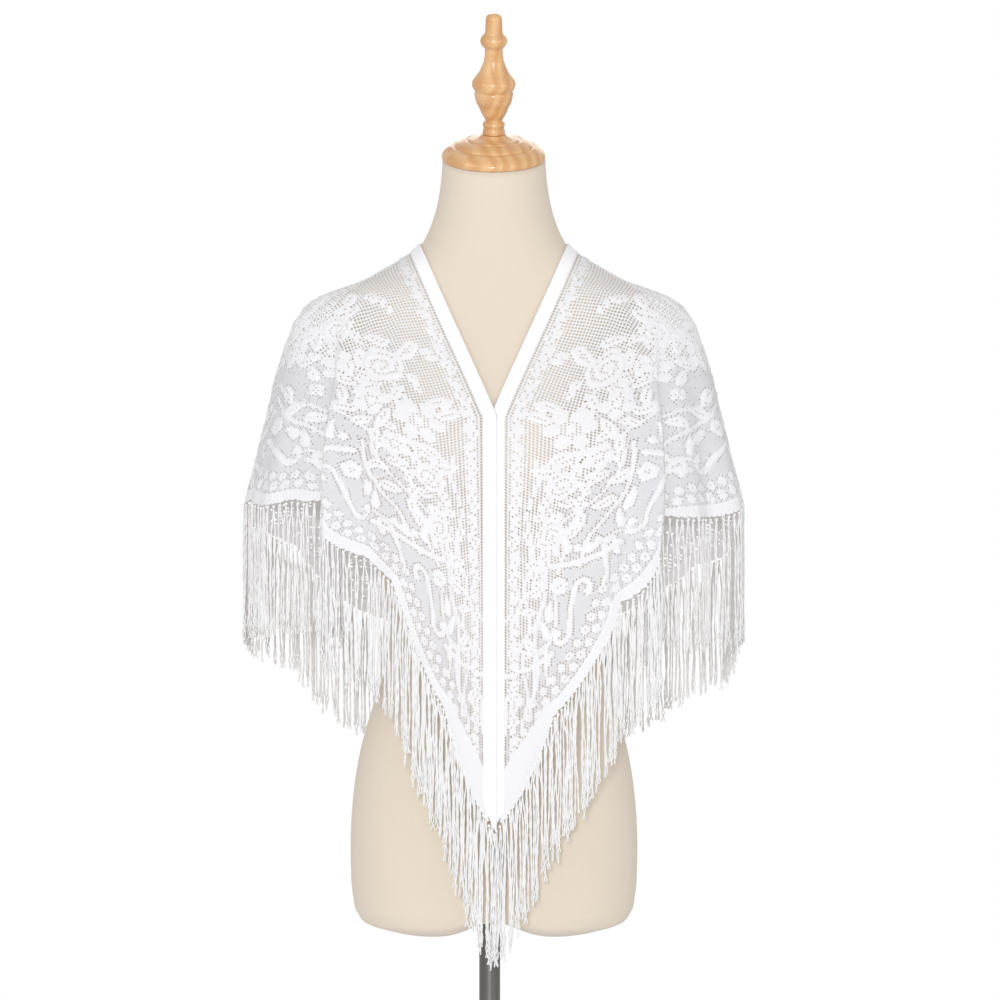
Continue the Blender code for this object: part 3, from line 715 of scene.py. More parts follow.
def pearl(x, y):
    r = np.hypot(x, y)
    return r - 1, np.clip(1.2 - r * r, 0, 1), np.zeros_like(x, bool)


MOTIFS = {
    "rose": rose, "flower": petals(6, 0.42), "bloom": petals(5, 0.55), "daisy": ring_flower,
    "bud": petals(4, 0.5), "leaf": leaf, "drop": drop, "pearl": pearl,
}

# The garland, charted along the hem's chord and in from it. The first is at the centre back.
# kind, along, away, size, turn
GARLAND = (
    ("rose", 0.000, 0.190, 0.0210, 0.0), ("flower", 0.052, 0.176, 0.0220, 0.4),
    ("bloom", 0.030, 0.146, 0.0150, 0.9), ("rose", 0.098, 0.188, 0.0180, 0.9),
    ("flower", 0.078, 0.148, 0.0170, 0.2), ("bloom", 0.142, 0.172, 0.0190, 0.1),
    ("rose", 0.122, 0.143, 0.0150, 1.7), ("rose", 0.188, 0.182, 0.0200, 0.3),
    ("flower", 0.170, 0.146, 0.0180, 0.6), ("flower", 0.236, 0.172, 0.0220, 0.5),
    ("bloom", 0.214, 0.143, 0.0150, 1.1), ("rose", 0.283, 0.188, 0.0170, 2.0),
    ("bloom", 0.262, 0.146, 0.0160, 0.2), ("bloom", 0.330, 0.172, 0.0190, 0.7),
    ("rose", 0.306, 0.146, 0.0160, 0.3), ("flower", 0.378, 0.182, 0.0210, 0.2),
    ("rose", 0.352, 0.144, 0.0160, 1.2), ("rose", 0.427, 0.184, 0.0155, 0.5),
    ("bloom", 0.400, 0.149, 0.0150, 0.4), ("rose", 0.482, 0.180, 0.0205, 0.2),
    ("flower", 0.450, 0.149, 0.0180, 1.0), ("bloom", 0.504, 0.142, 0.0170, 0.5),
    ("flower", 0.543, 0.164, 0.0230, 0.1), ("bloom", 0.556, 0.124, 0.0150, 0.8),
    ("rose", 0.594, 0.135, 0.0150, 0.9), ("flower", 0.618, 0.154, 0.0195, 0.4),
    ("bloom", 0.664, 0.128, 0.0155, 0.3), ("rose", 0.640, 0.110, 0.0150, 1.3),
    ("rose", 0.708, 0.103, 0.0135, 0.6), ("bloom", 0.750, 0.082, 0.0115, 0.2),
)
# Leaves and drops round each garland motif: turn, reach, length, in its own size
SPRAYS = (
    ("leaf", 1.15, 1.45, 0.66), ("leaf", 2.30, 1.42, 0.60), ("leaf", -0.75, 1.40, 0.62),
    ("leaf", -2.35, 1.45, 0.58), ("leaf", 0.10, 1.50, 0.55),
)
# A repeat of the border, from one notch of the hem to the next.
# kind, along, away, size, turn
BORDER = (
    ("daisy", 0.020, 0.073, 0.0095, 0.2), ("drop", 0.046, 0.066, 0.0110, 0.5),
    ("drop", 0.064, 0.060, 0.0105, 0.9), ("drop", 0.100, 0.064, 0.0100, -0.6),
    ("pearl", -0.040, 0.062, 0.0034, 0.0), ("pearl", -0.031, 0.069, 0.0036, 0.0),
    ("pearl", -0.023, 0.077, 0.0038, 0.0), ("pearl", -0.016, 0.086, 0.0038, 0.0),
    ("pearl", -0.008, 0.094, 0.0036, 0.0), ("leaf", 0.036, 0.092, 0.0125, -0.5),
    ("leaf", 0.062, 0.086, 0.0120, -0.7), ("leaf", 0.088, 0.094, 0.0125, 0.5),
    ("leaf", 0.020, 0.106, 0.0120, 0.8), ("drop", 0.110, 0.092, 0.0110, 1.1),
    ("bud", 0.074, 0.108, 0.0080, 0.3), ("bud", 0.048, 0.114, 0.0075, 0.3),
    ("leaf", 0.100, 0.118, 0.0115, -0.4),
)
# Raised cords of the border, in the same frame: half width, then their points.
BORDER_CORDS = (
    (0.0024, (-0.052, 0.0390), (-0.035, 0.0480), (-0.018, 0.0620), (-0.004, 0.0770),
     (0.006, 0.0900)),
    (0.0012, (-0.060, 0.0480), (-0.044, 0.0560), (-0.030, 0.0650)),
    (0.0020, (0.008, 0.0420), (0.002, 0.0460), (0.002, 0.0540), (0.009, 0.0580), (0.018, 0.0550),
     (0.030, 0.0480), (0.044, 0.0410), (0.056, 0.0340), (0.066, 0.0360), (0.068, 0.0430),
     (0.062, 0.0470)),
    (0.0019, (0.090, 0.0380), (0.084, 0.0410), (0.083, 0.0490), (0.090, 0.0530), (0.098, 0.0500),
     (0.108, 0.0430), (0.118, 0.0360), (0.126, 0.0330)),
    (0.0013, (0.004, 0.1040), (0.030, 0.0830), (0.060, 0.0730), (0.090, 0.0740),
     (0.124, 0.0660)),
    (0.0010, (0.000, 0.1180), (0.030, 0.0980), (0.062, 0.0970), (0.092, 0.1080),
     (0.132, 0.1180)),
)
CORD_BALLS = ((0.009, 0.0425), (0.0605, 0.0465), (0.091, 0.0385))


def garland_distance(along):
    """How far the garland's stem lies from the hem's chord, at a length along the hem."""
    share = along / HEM_LENGTH
    return (0.164 + 0.010 * np.cos(2 * np.pi * share * 9.0)
            - 0.085 * smooth_step(0.52, 0.84, share))


def from_hem(along, away):
    """The flat point at a length along the hem's chord and a distance in from it."""
    along_u, along_v = EDGE_HALF / HEM_LENGTH, -BACK_POINT / HEM_LENGTH
    return along * along_u - away * along_v * -1, BACK_POINT + along * along_v - away * along_u


def hem_coordinates(u, v):
    along = (EDGE_HALF * u - BACK_POINT * (v - BACK_POINT)) / HEM_LENGTH
    away = (BACK_POINT * EDGE_HALF - BACK_POINT * u - EDGE_HALF * v) / HEM_LENGTH
    return along, away


def scallop(along):
    return SCALLOP_DEPTH * np.abs(np.sin(np.pi * SCALLOPS * along / HEM_LENGTH)) ** 0.8


def plain_hem(along):
    """Width of the close plain hem: it broadens into the front tip."""
    return HEM_BAND + 0.020 * smooth_step(0.83, 0.93, along / HEM_LENGTH)


def lay_out_motifs():
    """Every motif of one half: its kind, centre in the flat cut, size and turn."""
    placed = []
    chord = math.atan2(-BACK_POINT, EDGE_HALF)

    def beside_hem(kind, along, away, size, turn=0.0):
        u, v = from_hem(along, away)
        if v > BAND_WIDTH + 0.016 + 0.8 * size and u > -size:
            placed.append((kind, u, v, size, chord + turn))

    for i, (kind, along, away, size, turn) in enumerate(GARLAND):
        beside_hem(kind, along, away, size, turn)
        for j, (spray, angle, reach, length) in enumerate(SPRAYS):
            bend = angle + 0.45 * math.sin(2.7 * i + 1.9 * j)
            x, y = size * reach * math.cos(bend), size * reach * math.sin(bend)
            beside_hem(spray, along + x, away + y, max(size * length, 0.009), bend)

    # sprays that reach up into the open net
    for i in range(9):
        along = 0.03 + 0.066 * i
        for j, (kind, rise, size) in enumerate((("leaf", 0.052, 0.0125), ("bud", 0.066, 0.0075),
                                                ("leaf", 0.070, 0.0105))):
            beside_hem(kind, along + 0.012 * (j - 1), garland_distance(along) + rise, size,
                       1.2 - 0.5 * j + 0.3 * (i % 3))

    # a chain of small leaves and buds along the band
    pitch = 0.0185
    for i in range(int(0.72 / pitch)):
        u, tilt = 0.008 + pitch * i, 0.42 * (-1) ** i
        placed.append(("leaf", u, BAND_WIDTH + 0.0098, 0.0088, tilt))
        placed.append(("bud", u + pitch / 2, BAND_WIDTH + 0.0118, 0.0058, 0.4 * i))

    lobe = HEM_LENGTH / SCALLOPS
    for i in range(SCALLOPS):
        for kind, along, away, size, turn in BORDER:
            beside_hem(kind, lobe * i + along, away, size, turn)
        for along, away in CORD_BALLS:
            beside_hem("pearl", lobe * i + along, away, 0.0036)

    # two staggered rows of small rings over the plain hem
    count = 9 * SCALLOPS
    for i in range(count - 4):
        for shift, rise, size in ((0.5, 0.0195, 0.0046), (0.0, 0.0300, 0.0042)):
            along = HEM_LENGTH * (i + shift) / count
            beside_hem("daisy", along, rise - 0.9 * float(scallop(np.array(along))), size, 0.5 * i)
    return placed


def lay_out_cords():
    """The raised cords: half width and points in the flat cut."""
    along = np.linspace(0, HEM_LENGTH * 0.80, 160)
    u, v = from_hem(along, garland_distance(along))
    cords = [(0.0012, np.stack([u, v], axis=-1))]
    lobe = HEM_LENGTH / SCALLOPS
    for i in range(SCALLOPS + 1):
        for half_width, *points in BORDER_CORDS:
            bent = smooth_run(np.array(points))
            u, v = from_hem(lobe * i + bent[:, 0], bent[:, 1])
            cords.append((half_width, np.stack([u, v], axis=-1)))
    # stems that run down beside the band to the front tip
    for v_start, v_end, u_start, u_end, half_width in (
            (0.040, 0.036, 0.40, 0.70, 0.0011), (0.058, 0.046, 0.45, 0.665, 0.0013),
            (0.076, 0.060, 0.47, 0.63, 0.0010)):
        share = np.linspace(0, 1, 60)
        wave = 0.0035 * np.sin(2 * np.pi * share * (u_end - u_start) / 0.075)
        cords.append((half_width, np.stack([u_start + (u_end - u_start) * share,
                                            v_start + (v_end - v_start) * share + wave],
                                           axis=-1)))
    return cords


def smooth_run(points, parts=5):
    """A smooth line through points, with parts steps between each two."""
    n = len(points)
    at = np.arange(n, dtype=float)
    table = np.column_stack([at, points])
    return smooth_columns(table, np.linspace(0, n - 1, (n - 1) * parts + 1))


def distance_to_line(x, y, line):
    ax, ay = line[:-1, 0], line[:-1, 1]
    dx, dy = np.diff(line[:, 0]), np.diff(line[:, 1])
    px, py = x[:, None] - ax, y[:, None] - ay
    t = np.clip((px * dx + py * dy) / np.maximum(dx * dx + dy * dy, 1e-12), 0, 1)
    return np.hypot(px - t * dx, py - t * dy).min(axis=1)


class Pattern:
    """The lace pattern of one half, read at points of the flat cut."""

    REACH = 0.006

    def __init__(self):
        self.motifs = lay_out_motifs()
        self.cords = lay_out_cords()

    def read(self, u, v):
        """Distance outside the nearest motif, height on it, and where its pinholes are."""
        outside = np.full(u.shape, 1.0)
        height = np.zeros(u.shape)
        pin = np.zeros(u.shape, bool)

        def lay(near, out, high, hole):
            closer = out < outside[near]
            outside[near] = np.where(closer, out, outside[near])
            inside = closer & (out < 0)
            height[near] = np.where(inside, high, height[near])
            pin[near] = np.where(inside, hole, pin[near])

        for half_width, line in self.cords:
            low, high = line.min(axis=0) - self.REACH, line.max(axis=0) + self.REACH
            near = np.flatnonzero((u > low[0]) & (u < high[0]) & (v > low[1]) & (v < high[1]))
            if len(near):
                out = distance_to_line(u[near], v[near], line) - half_width
                lay(near, out, np.clip(-out / half_width, 0, 1) ** 0.5, False)
        for kind, cu, cv, size, turn in self.motifs:
            reach = size + self.REACH
            near = np.flatnonzero((np.abs(u - cu) < reach) & (np.abs(v - cv) < reach))
            if len(near):
                du, dv = (u[near] - cu) / size, (v[near] - cv) / size
                c, s = math.cos(turn), math.sin(turn)
                out, high, hole = MOTIFS[kind](du * c + dv * s, -du * s + dv * c)
                lay(near, out * size, high, hole)
        along, away = hem_coordinates(u, v)
        edge = away + scallop(along)
        everywhere = np.arange(u.size)
        across = (along / HEM_RING_PITCH % 1.0 - 0.5) * HEM_RING_PITCH
        ring = np.abs(np.hypot(across, edge - HEM_RING_IN) - HEM_RING_RADIUS)
        lay(everywhere, (edge - plain_hem(along)).ravel(),
            np.where(ring < HEM_RING_HALF, 0.0, 0.45).ravel(),
            np.zeros(u.size, bool))
        return outside, height, pin, along, away, edge

    def look(self, u, v, may_open):
        """For cells: how open each is."""
        outside, _, pin, along, away, edge = self.read(u, v)
        ground = away < garland_distance(along) - GARLAND_GROUND
        opened = np.where(ground, 0.0, NET_OPEN)
        seeds = (away / SEED_ROW) % 1.0 < SEED_ROW_SHARE
        seeds &= (along / SEED_STEP) % 1.0 < SEED_STEP_SHARE
        opened = np.where(ground & seeds & (away > SEEDS_FROM), PIN_OPEN, opened)
        strip = v < BAND_WIDTH + STRIP
        opened = np.where(strip & (outside > 0), NET_OPEN, opened)
        outlined = (outside > OUTLINE_FROM) & (outside < OUTLINE_TO)
        opened = np.where(outlined, OUTLINE_OPEN, opened)
        opened = np.where(outside < 0, np.where(pin, PIN_OPEN, 0.0), opened)
        opened = np.where(edge < plain_hem(along) + 0.0012, 0.0, opened)
        return np.where(may_open, opened, 0.0)

    def thin_shade_amount(self, u, v):
        """How much painted shade a point gets: 1 in the thin ground, less in the net, 0 on motifs and
        the plain hem except for painted shade in their low parts.
        """
        outside, height, _, along, away, _ = self.read(u, v)
        ground = smooth_step(0.004, -0.004, away - garland_distance(along) + GARLAND_GROUND)
        open_part = smooth_step(0.0, 0.0010, outside)
        # painted shade in the low parts of motifs and of the plain hem
        low_part_shade = np.where(outside < 0, 0.22 * (1 - height), 0)
        return open_part * (0.25 + 0.75 * ground) + low_part_shade, outside, height


PATTERN = Pattern()


def lean_net(u, v):
    """Lattice places leaned so that the net's rows follow the cloth in front."""
    return u + NET_LEAN * v * smooth_step(0.03, 0.24, u)


def snap_to_motifs(u, v):
    """Moves lattice points that lie close to a motif's edge onto it."""
    step, reach = 0.0003, 0.42 * CELL_U
    here = PATTERN.read(u, v)[0]
    du = (PATTERN.read(u + step, v)[0] - here) / step
    dv = (PATTERN.read(u, v + step)[0] - here) / step
    steep = np.maximum(du * du + dv * dv, 0.5)
    near = np.abs(here) < reach
    return u - np.where(near, here * du / steep, 0), v - np.where(near, here * dv / steep, 0)


def build_lace_piece(name, half, u_from, u_to, material):
    """Net, ground and motifs cell by cell between two places along the long edge."""
    half_u, half_v = CELL_U / 2, CELL_V / 2
    v_start = BAND_WIDTH - UNDER_BAND
    columns = np.arange(-math.ceil(NET_LEAN * BACK_POINT / half_u), math.ceil(u_to / half_u) + 2)
    rows = np.arange(0, math.ceil((BACK_POINT + 0.02 - v_start) / half_v) + 1)
    m, j = (a.ravel() for a in np.meshgrid(columns, rows, indexing="ij"))
    even = (m + j) % 2 == 0
    m, j = m[even], j[even]
    v = v_start + j * half_v
    u = lean_net(m * half_u, v)
    along, away = hem_coordinates(u, v)
    inside = away + scallop(along) > 0.2 * half_v
    keep = inside & (u >= max(u_from, -half_u / 4)) & (u < u_to) & (along < HEM_LENGTH - 0.004)
    m, j = m[keep], j[keep]

    # lattice points shared by neighbouring cells
    step_m, step_j = np.array([1, 0, -1, 0]), np.array([0, 1, 0, -1])
    corner_m, corner_j = m[:, None] + step_m, j[:, None] + step_j
    key = (corner_m + 1000) * 4096 + (corner_j + 10)
    _, first, index = np.unique(key.ravel(), return_index=True, return_inverse=True)
    index = index.reshape(key.shape)
    grid_v = v_start + corner_j.ravel()[first] * half_v
    grid_u = lean_net(corner_m.ravel()[first] * half_u, grid_v)
    grid_u, grid_v = snap_to_motifs(grid_u, grid_v)
    grid_u = np.maximum(grid_u, 0)
    along, away = hem_coordinates(grid_u, grid_v)
    past = np.minimum(away + scallop(along), 0)
    grid_u = grid_u + past * BACK_POINT / HEM_LENGTH
    grid_v = grid_v + past * EDGE_HALF / HEM_LENGTH
    centre_u, centre_v = grid_u[index].mean(axis=1), grid_v[index].mean(axis=1)

    opened = PATTERN.look(centre_u, centre_v, (m % 2 == 1) & (centre_u > half_u / 2))
    is_open = opened > LEAST_OPEN
    share = opened[is_open, None]
    hole_u = centre_u[is_open, None] * (1 - share) + grid_u[index[is_open]] * share
    hole_v = centre_v[is_open, None] * (1 - share) + grid_v[index[is_open]] * share

    flat_u = np.concatenate([grid_u, hole_u.ravel(), centre_u[~is_open]])
    flat_v = np.concatenate([grid_v, hole_v.ravel(), centre_v[~is_open]])
    thin_shade, outside, height = PATTERN.thin_shade_amount(flat_u, flat_v)
    lift = MOTIF_LIFT * height * smooth_step(0.0004, -0.0012, outside)
    points = half.drape(flat_u, flat_v, lift)

    hole_index = len(grid_u) + np.arange(hole_u.size).reshape(hole_u.shape)
    centre_index = len(grid_u) + hole_u.size + np.arange((~is_open).sum())
    quads, triangles = [], []
    for a in range(4):
        b = (a + 1) % 4
        quads.append(np.stack([index[is_open, a], index[is_open, b],
                               hole_index[:, b], hole_index[:, a]], axis=1))
        triangles.append(np.stack([centre_index, index[~is_open, a], index[~is_open, b]], axis=1))
    faces = [np.concatenate(quads), np.concatenate(triangles)]
    if half.side > 0:
        faces = [f[:, ::-1] for f in faces]
    mesh = mesh_from_arrays(name, points, faces)
    add_flat_uv(mesh, flat_u, flat_v)
    # painted shade of the thin ground and of low motif parts, read by the lace material
    mesh.attributes.new("thin_shade", "FLOAT", "POINT").data.foreach_set("value",
                                                                   thin_shade.astype(np.float32))
    obj = new_object(name, mesh, material)
    area = len(m) * CELL_U * CELL_V / 2
    return obj, (float(np.ptp(flat_u)), float(np.ptp(flat_v))), area


# ================================================================== band and fringe
BAND_SECTION = (                       # across from the outer edge (0..1), lift in metres
    (0.00, 0.0000), (0.01, 0.0006), (0.10, 0.0010), (0.30, 0.0007), (0.70, 0.0007),
    (0.90, 0.0009), (0.99, 0.0005), (1.00, 0.0000), (0.97, -0.0003), (0.50, -0.0004),
    (0.03, -0.0003),
)


def build_band(name, half, material):
    """The plain band: a thin strip with two slightly raised edges, down to the front tip."""
    count = 520
    share, lift = np.array(BAND_SECTION).T
    across = share * BAND_WIDTH
    end_u = EDGE_HALF * (1 - across / BACK_POINT)
    along = np.linspace(0, 1, count)[:, None]
    u, v = end_u * along, np.broadcast_to(across, (count, len(share)))
    wander = 1 + 0.25 * np.sin(u * 95 + 1.3 * half.side) * np.sin(u * 37)
    points = half.drape(u, v, np.broadcast_to(lift, u.shape) * wander)
    bm = loft(points)
    obj = bm_object(name, bm, material)
    flat_u, flat_v = u.ravel(), v.ravel()
    add_flat_uv(obj.data, half.side * flat_u, flat_v)
    return obj


def fringe_lines(half, rng):
    """Centre lines of the yarns: a knot, then two twisted pairs that hang and sway."""
    knots = int(HEM_LENGTH / KNOT_PITCH)
    shares = (np.arange(knots) + 0.5) / knots
    turns = half.turn_of_share(shares)
    hem = half.at(turns, half.hem_down(turns))
    steps = 15
    fall = np.linspace(0, 1, steps)
    lines, knot_points = [], []
    ahead = np.roll(hem, -1, axis=0) - hem
    ahead[-1] = ahead[-2]
    ahead[:, 2] = 0
    ahead /= np.maximum(np.linalg.norm(ahead, axis=1, keepdims=True), 1e-9)
    sway_phase = rng.uniform(0, 2 * np.pi, knots)
    for i in range(knots):
        knot_points.append(hem[i] + (0, 0, -KNOT_DROP))
        side_way = ahead[i]
        out_way = np.array([side_way[1], -side_way[0], 0]) * half.side
        for pair in (-1, 1):
            length = FRINGE_LENGTH * rng.uniform(0.90, 0.985)
            drift = pair * 0.0019 + rng.normal(0, 0.0014)
            lean = rng.normal(0, 0.0022)
            wave, phase = rng.uniform(0.0003, 0.0012), rng.uniform(0, 6.28)
            turns_of_wave = rng.uniform(0.8, 2.2)
            for strand in (0, math.pi):
                twist = phase + strand + 2 * math.pi * fall * length / TWIST_LENGTH
                part = 0.00055 + 0.0016 * smooth_step(0.80, 1.0, fall) * rng.uniform(0.2, 1.2)
                across = (drift * smooth_step(0, 0.22, fall) + lean * fall ** 2
                          + wave * np.sin(2 * np.pi * turns_of_wave * fall + phase)
                          + part * np.cos(twist) * smooth_step(0, 0.06, fall))
                depth = (0.0008 * np.sin(2 * np.pi * 1.3 * fall + sway_phase[i]) * fall
                         + part * np.sin(twist) * smooth_step(0, 0.06, fall))
                down = -0.0030 - (length - 0.0030) * fall
                line = (hem[i] + side_way * across[:, None] + out_way * depth[:, None])
                line[:, 2] += down
                lines.append(line)
    return lines, knot_points


def tube_tree(name, material):
    """Geometry nodes: every edge chain becomes a yarn, every loose point a knot."""
    tree = bpy.data.node_groups.new(name, "GeometryNodeTree")
    tree.interface.new_socket("Geometry", in_out="INPUT", socket_type="NodeSocketGeometry")
    for label, value in (("Yarn radius", YARN_RADIUS), ("Knot radius", KNOT_RADIUS)):
        socket = tree.interface.new_socket(label, in_out="INPUT", socket_type="NodeSocketFloat")
        socket.default_value = value
    tree.interface.new_socket("Geometry", in_out="OUTPUT", socket_type="NodeSocketGeometry")

    def add(kind, wires=(), **values):
        """A node with inputs wired from sockets, or set to values."""
        node = tree.nodes.new(kind)
        for socket, source in wires:
            tree.links.new(source, node.inputs[socket])
        for socket, value in values.items():
            node.inputs[socket.replace("_", " ")].default_value = value
        return node

    start = add("NodeGroupInput")
    is_knot = add("GeometryNodeInputNamedAttribute", Name="knot")
    is_knot.data_type = "BOOLEAN"
    parts = add("GeometryNodeSeparateGeometry", (("Geometry", start.outputs[0]),
                                                 ("Selection", is_knot.outputs["Attribute"])))
    curve = add("GeometryNodeMeshToCurve", (("Mesh", parts.outputs["Inverted"]),))
    section = add("GeometryNodeCurvePrimitiveCircle",
                  (("Radius", start.outputs["Yarn radius"]),), Resolution=4)
    tube = add("GeometryNodeCurveToMesh",
               (("Curve", curve.outputs["Curve"]), ("Profile Curve", section.outputs["Curve"])),
               Fill_Caps=True)
    ball = add("GeometryNodeMeshIcoSphere", (("Radius", start.outputs["Knot radius"]),),
               Subdivisions=2)
    knots = add("GeometryNodeInstanceOnPoints",
                (("Points", parts.outputs["Selection"]), ("Instance", ball.outputs["Mesh"])))
    join = add("GeometryNodeJoinGeometry", ((0, knots.outputs[0]), (0, tube.outputs["Mesh"])))
    real = add("GeometryNodeRealizeInstances", ((0, join.outputs[0]),))
    smooth = add("GeometryNodeSetShadeSmooth", ((0, real.outputs[0]),))
    paint = add("GeometryNodeSetMaterial", (("Geometry", smooth.outputs[0]),), Material=material)
    add("NodeGroupOutput", ((0, paint.outputs[0]),))
    return tree


def build_fringe(name, half, material, rng):
    lines, knots = fringe_lines(half, rng)
    points = np.concatenate(lines + [np.array(knots)])
    edges, at = [], 0
    for line in lines:
        edges += [(at + i, at + i + 1) for i in range(len(line) - 1)]
        at += len(line)
    mesh = bpy.data.meshes.new(name + "_lines")
    mesh.from_pydata([tuple(p) for p in points], edges, [])
    flag = mesh.attributes.new("knot", "BOOLEAN", "POINT")
    flag.data.foreach_set("value", np.arange(len(points)) >= at)
    guide = in_scene(name + "_lines", mesh)
    modifier = guide.modifiers.new("yarns", "NODES")
    tree = tube_tree(name + "_yarns", material)
    modifier.node_group = tree
    sizes = {"Yarn radius": YARN_RADIUS, "Knot radius": KNOT_RADIUS}
    for item in tree.interface.items_tree:
        if item.in_out == "INPUT" and item.name in sizes:
            modifier[item.identifier] = sizes[item.name]
    bpy.context.view_layer.update()
    evaluated = guide.evaluated_get(bpy.context.evaluated_depsgraph_get())
    made = bpy.data.meshes.new_from_object(evaluated)
    made.name = name
    obj = in_scene(name, made)
    bpy.data.objects.remove(guide)
    bpy.data.meshes.remove(mesh)
    return obj


# ================================================================== form, wood and stand
def form_ring(height, sides, shrink=1.0):
    turn = np.arange(sides) * 2 / sides
    side = np.where(turn <= 1, 1, -1)
    x, y = on_section(FORM_SECTIONS, np.full(sides, height), turn, side)
    x, y = x * shrink, y * shrink
    arch = ARCH_HEIGHT * smooth_step(ARCH_TOP, FORM_SECTIONS[0][0], height)
    lean = math.tan(NECK_TILT) * smooth_step(TILT_START, FORM_SECTIONS[-1][0], height)
    z = height + arch * np.exp(-(x / ARCH_WIDTH) ** 2) + lean * y
    return np.stack([x, y, z], axis=-1)


def build_form(material):
    bottom, top = FORM_SECTIONS[0][0], FORM_SECTIONS[-1][0]
    sides = 128
    heights = np.concatenate([np.linspace(bottom, 0.84, 14)[:-1], np.linspace(0.84, top, 96)])
    rings = [form_ring(bottom, sides, s) for s in (0.1, 0.3, 0.5, 0.7, 0.85, 0.95)]
    rings += [form_ring(h, sides) for h in heights]
    rings += [form_ring(top, sides, s) for s in (0.97, 0.6, 0.2)]
    return bm_object("form_cover", loft(rings), material)


# radius, height over the cap's seat, top to bottom
FINIAL_PROFILE = (
    (0.0000, 0.1536), (0.0036, 0.1533), (0.0066, 0.1519), (0.0085, 0.1480), (0.0089, 0.1400),
    (0.0093, 0.1334), (0.0108, 0.1316), (0.0134, 0.1285), (0.0142, 0.1253), (0.0132, 0.1216),
    (0.0106, 0.1184), (0.0094, 0.1162), (0.0101, 0.1066), (0.0121, 0.1000), (0.0150, 0.0938),
    (0.0198, 0.0870), (0.0226, 0.0826), (0.0230, 0.0790), (0.0216, 0.0752), (0.0200, 0.0722),
    (0.0206, 0.0700), (0.0198, 0.0652), (0.0188, 0.0610), (0.0163, 0.0562), (0.0123, 0.0472),
    (0.0092, 0.0420), (0.0090, 0.0408), (0.0110, 0.0392), (0.0117, 0.0370), (0.0109, 0.0336),
    (0.0108, 0.0326), (0.0119, 0.0304), (0.0119, 0.0278), (0.0112, 0.0268), (0.0000, 0.0268),
)
CAP_PROFILE = (
    (0.0000, 0.0265), (0.0124, 0.0265), (0.0142, 0.0243), (0.0200, 0.0222), (0.0264, 0.0214),
    (0.0278, 0.0199), (0.0296, 0.0203), (0.0345, 0.0190), (0.0402, 0.0160), (0.0416, 0.0139),
    (0.0432, 0.0141), (0.0490, 0.0112), (0.0535, 0.0072), (0.0550, 0.0035), (0.0548, 0.0010),
    (0.0530, 0.0000), (0.0000, 0.0000),
)
CAP_SEAT = 1.6078
POLE_X = -0.0045
POLE_RADIUS = 0.011
BASE_PROFILE = (
    (0.0000, 0.0600), (0.0160, 0.0600), (0.0175, 0.0590), (0.0180, 0.0570), (0.0180, 0.0300),
    (0.0215, 0.0215), (0.0320, 0.0170), (0.1000, 0.0135), (0.1420, 0.0110), (0.1485, 0.0085),
    (0.1500, 0.0055), (0.1500, 0.0015), (0.1488, 0.0000), (0.0000, 0.0000),
)


def turned(name, profile, material, sides=96, rounds=4, tilt=0.0, lift=0.0, x=0.0):
    """A turned body through a profile of radius and height, top to bottom, smoothed."""
    rows = np.array(profile)
    run = np.concatenate([[0], np.cumsum(np.hypot(*np.diff(rows, axis=0).T))])
    fine = np.concatenate([np.linspace(a, b, rounds + 1)[:-1] for a, b in zip(run, run[1:])] +
                          [[run[-1]]])
    # slopes that never overshoot, so grooves stay crisp and straight lengths straight
    secants = np.diff(rows, axis=0) / np.diff(run)[:, None]
    before, after = secants[:-1], secants[1:]
    same_way = before * after > 0
    middle = np.where(same_way, 2 * before * after / np.where(same_way, before + after, 1), 0)
    slopes = np.concatenate([secants[:1], middle, secants[-1:]])
    curve = curve_through(run, rows, slopes, fine)
    curve[:, 0] = np.maximum(curve[:, 0], 0.0002)
    curve[:, 1] = np.clip(curve[:, 1], rows[-1, 1], rows[0, 1])
    angle = np.arange(sides) * 2 * math.pi / sides
    rings = []
    for radius, height in curve[::-1]:
        px, py = radius * np.cos(angle), radius * np.sin(angle)
        y = py * math.cos(tilt) - height * math.sin(tilt)
        z = py * math.sin(tilt) + height * math.cos(tilt)
        rings.append(np.stack([px + x, y, z + lift], axis=-1))
    return bm_object(name, loft(rings), material)


# ================================================================== studio
BACKDROP_GLOW, ROOM_LIGHT = 1.0, 0.60
LIT_POINT = Vector((0, 0, 1.25))
FLOOR_RADIUS = 3.4


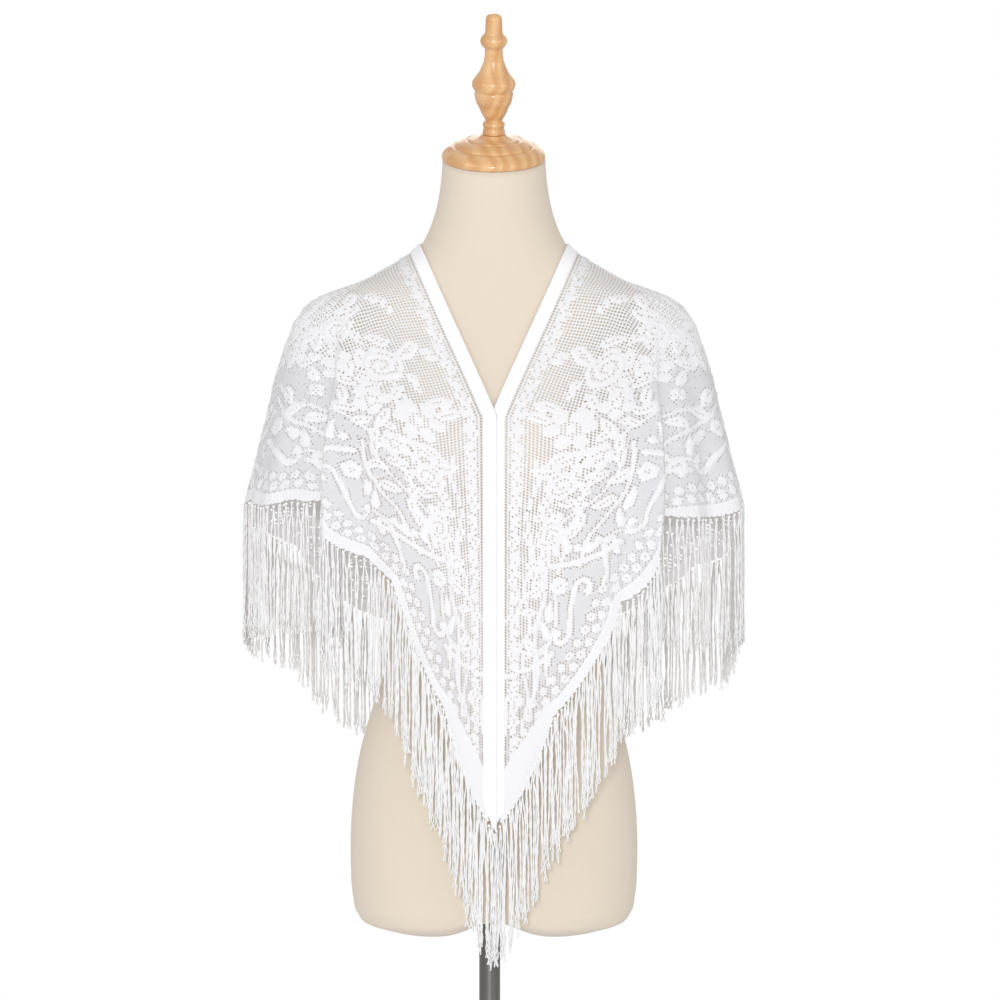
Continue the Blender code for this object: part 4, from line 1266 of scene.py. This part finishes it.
def make_studio():
    bpy.ops.mesh.primitive_circle_add(vertices=96, radius=FLOOR_RADIUS, fill_type="NGON")
    floor = bpy.context.active_object
    floor.name = "studio_floor"
    floor.data.materials.append(floor_finish())

    world = bpy.data.worlds.new("studio")
    bpy.context.scene.world = world
    world.use_nodes = True
    tree = world.node_tree
    backdrop = tree.nodes["Background"]
    room = tree.nodes.new("ShaderNodeBackground")
    for background, strength in ((backdrop, BACKDROP_GLOW), (room, ROOM_LIGHT)):
        background.inputs["Color"].default_value = (1, 1, 1, 1)
        background.inputs["Strength"].default_value = strength
    seen, pick = tree.nodes.new("ShaderNodeLightPath"), tree.nodes.new("ShaderNodeMixShader")
    tree.links.new(seen.outputs["Is Camera Ray"], pick.inputs["Fac"])
    tree.links.new(room.outputs[0], pick.inputs[1])
    tree.links.new(backdrop.outputs[0], pick.inputs[2])
    tree.links.new(pick.outputs[0], tree.nodes["World Output"].inputs["Surface"])

    # name, place, size, watts
    for name, spot, size, watts in (
        ("front", (-0.30, -4.6, 1.75), 0.5, 84.0),
        ("side", (-2.4, -2.2, 2.5), 1.5, 13.0),
        ("fill", (2.6, -2.3, 1.9), 1.5, 13.0),
        ("back", (0.4, 2.6, 2.6), 2.2, 24.0),
    ):
        lamp = bpy.data.lights.new(name, "AREA")
        lamp.size, lamp.energy = size, watts
        obj = in_scene(name, lamp)
        obj.location = spot
        obj.rotation_euler = (LIT_POINT - Vector(spot)).to_track_quat("-Z", "Y").to_euler()
    bpy.context.scene.view_settings.view_transform = "Standard"


def make_camera():
    lens, distance, aim_height, aside = 102.9, 3.0, 1.2494, 0.0063
    data = bpy.data.cameras.new("camera")
    data.lens = lens
    camera = in_scene("camera", data)
    camera.location = (aside, -distance, aim_height)
    camera.rotation_euler = (math.pi / 2, 0, 0)
    bpy.context.scene.camera = camera


def place(piece, slot, *nodes):
    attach(piece, "root")
    if nodes:
        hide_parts(*nodes)


def main():
    make_camera()
    make_studio()
    lace, fringe_yarn = lace_finish(), fringe_finish()
    knit, jersey, oak, steel = band_finish(), cover_finish(), oak_finish(), steel_finish()

    place(build_form(jersey), "beige_cover", "form_torso")
    cap = turned("cap_turned", CAP_PROFILE, oak, tilt=NECK_TILT, lift=CAP_SEAT)
    place(cap, "light_oak", "neck_cap")
    finial = turned("finial_turned", FINIAL_PROFILE, oak, tilt=NECK_TILT, lift=CAP_SEAT)
    place(finial, "light_oak", "neck_finial")
    pole_profile = ((0.0, 0.8867), (0.0108, 0.8867), (POLE_RADIUS, 0.8860), (POLE_RADIUS, 0.4500),
                    (POLE_RADIUS, 0.0110), (0.0108, 0.0103), (0.0, 0.0103))
    place(turned("pole_tube", pole_profile, steel, sides=64, rounds=2, x=POLE_X), "dark_steel",
          "stand_pole")
    place(turned("base_disc", BASE_PROFILE, steel, sides=128, x=POLE_X), "dark_steel",
          "stand_base")

    rng = np.random.default_rng(7)
    for side, word in ((-1, "right"), (1, "left")):
        half = Half(side)
        band = build_band(f"edge_band_{word}", half, knit)
        place(band, "white_band", f"band_{word}")
        fringe = build_fringe(f"yarn_fringe_{word}", half, fringe_yarn, rng)
        place(fringe, "white_fringe", f"fringe_{word}")
        for part, u_from, u_to in (("back", 0.0, SPLIT_U), ("front", SPLIT_U, EDGE_HALF)):
            piece, flat, area = build_lace_piece(f"lace_{part}_{word}", half, u_from, u_to, lace)
            place(piece, "white_lace", *(("lace_body",) if side < 0 and part == "back" else ()))


main()
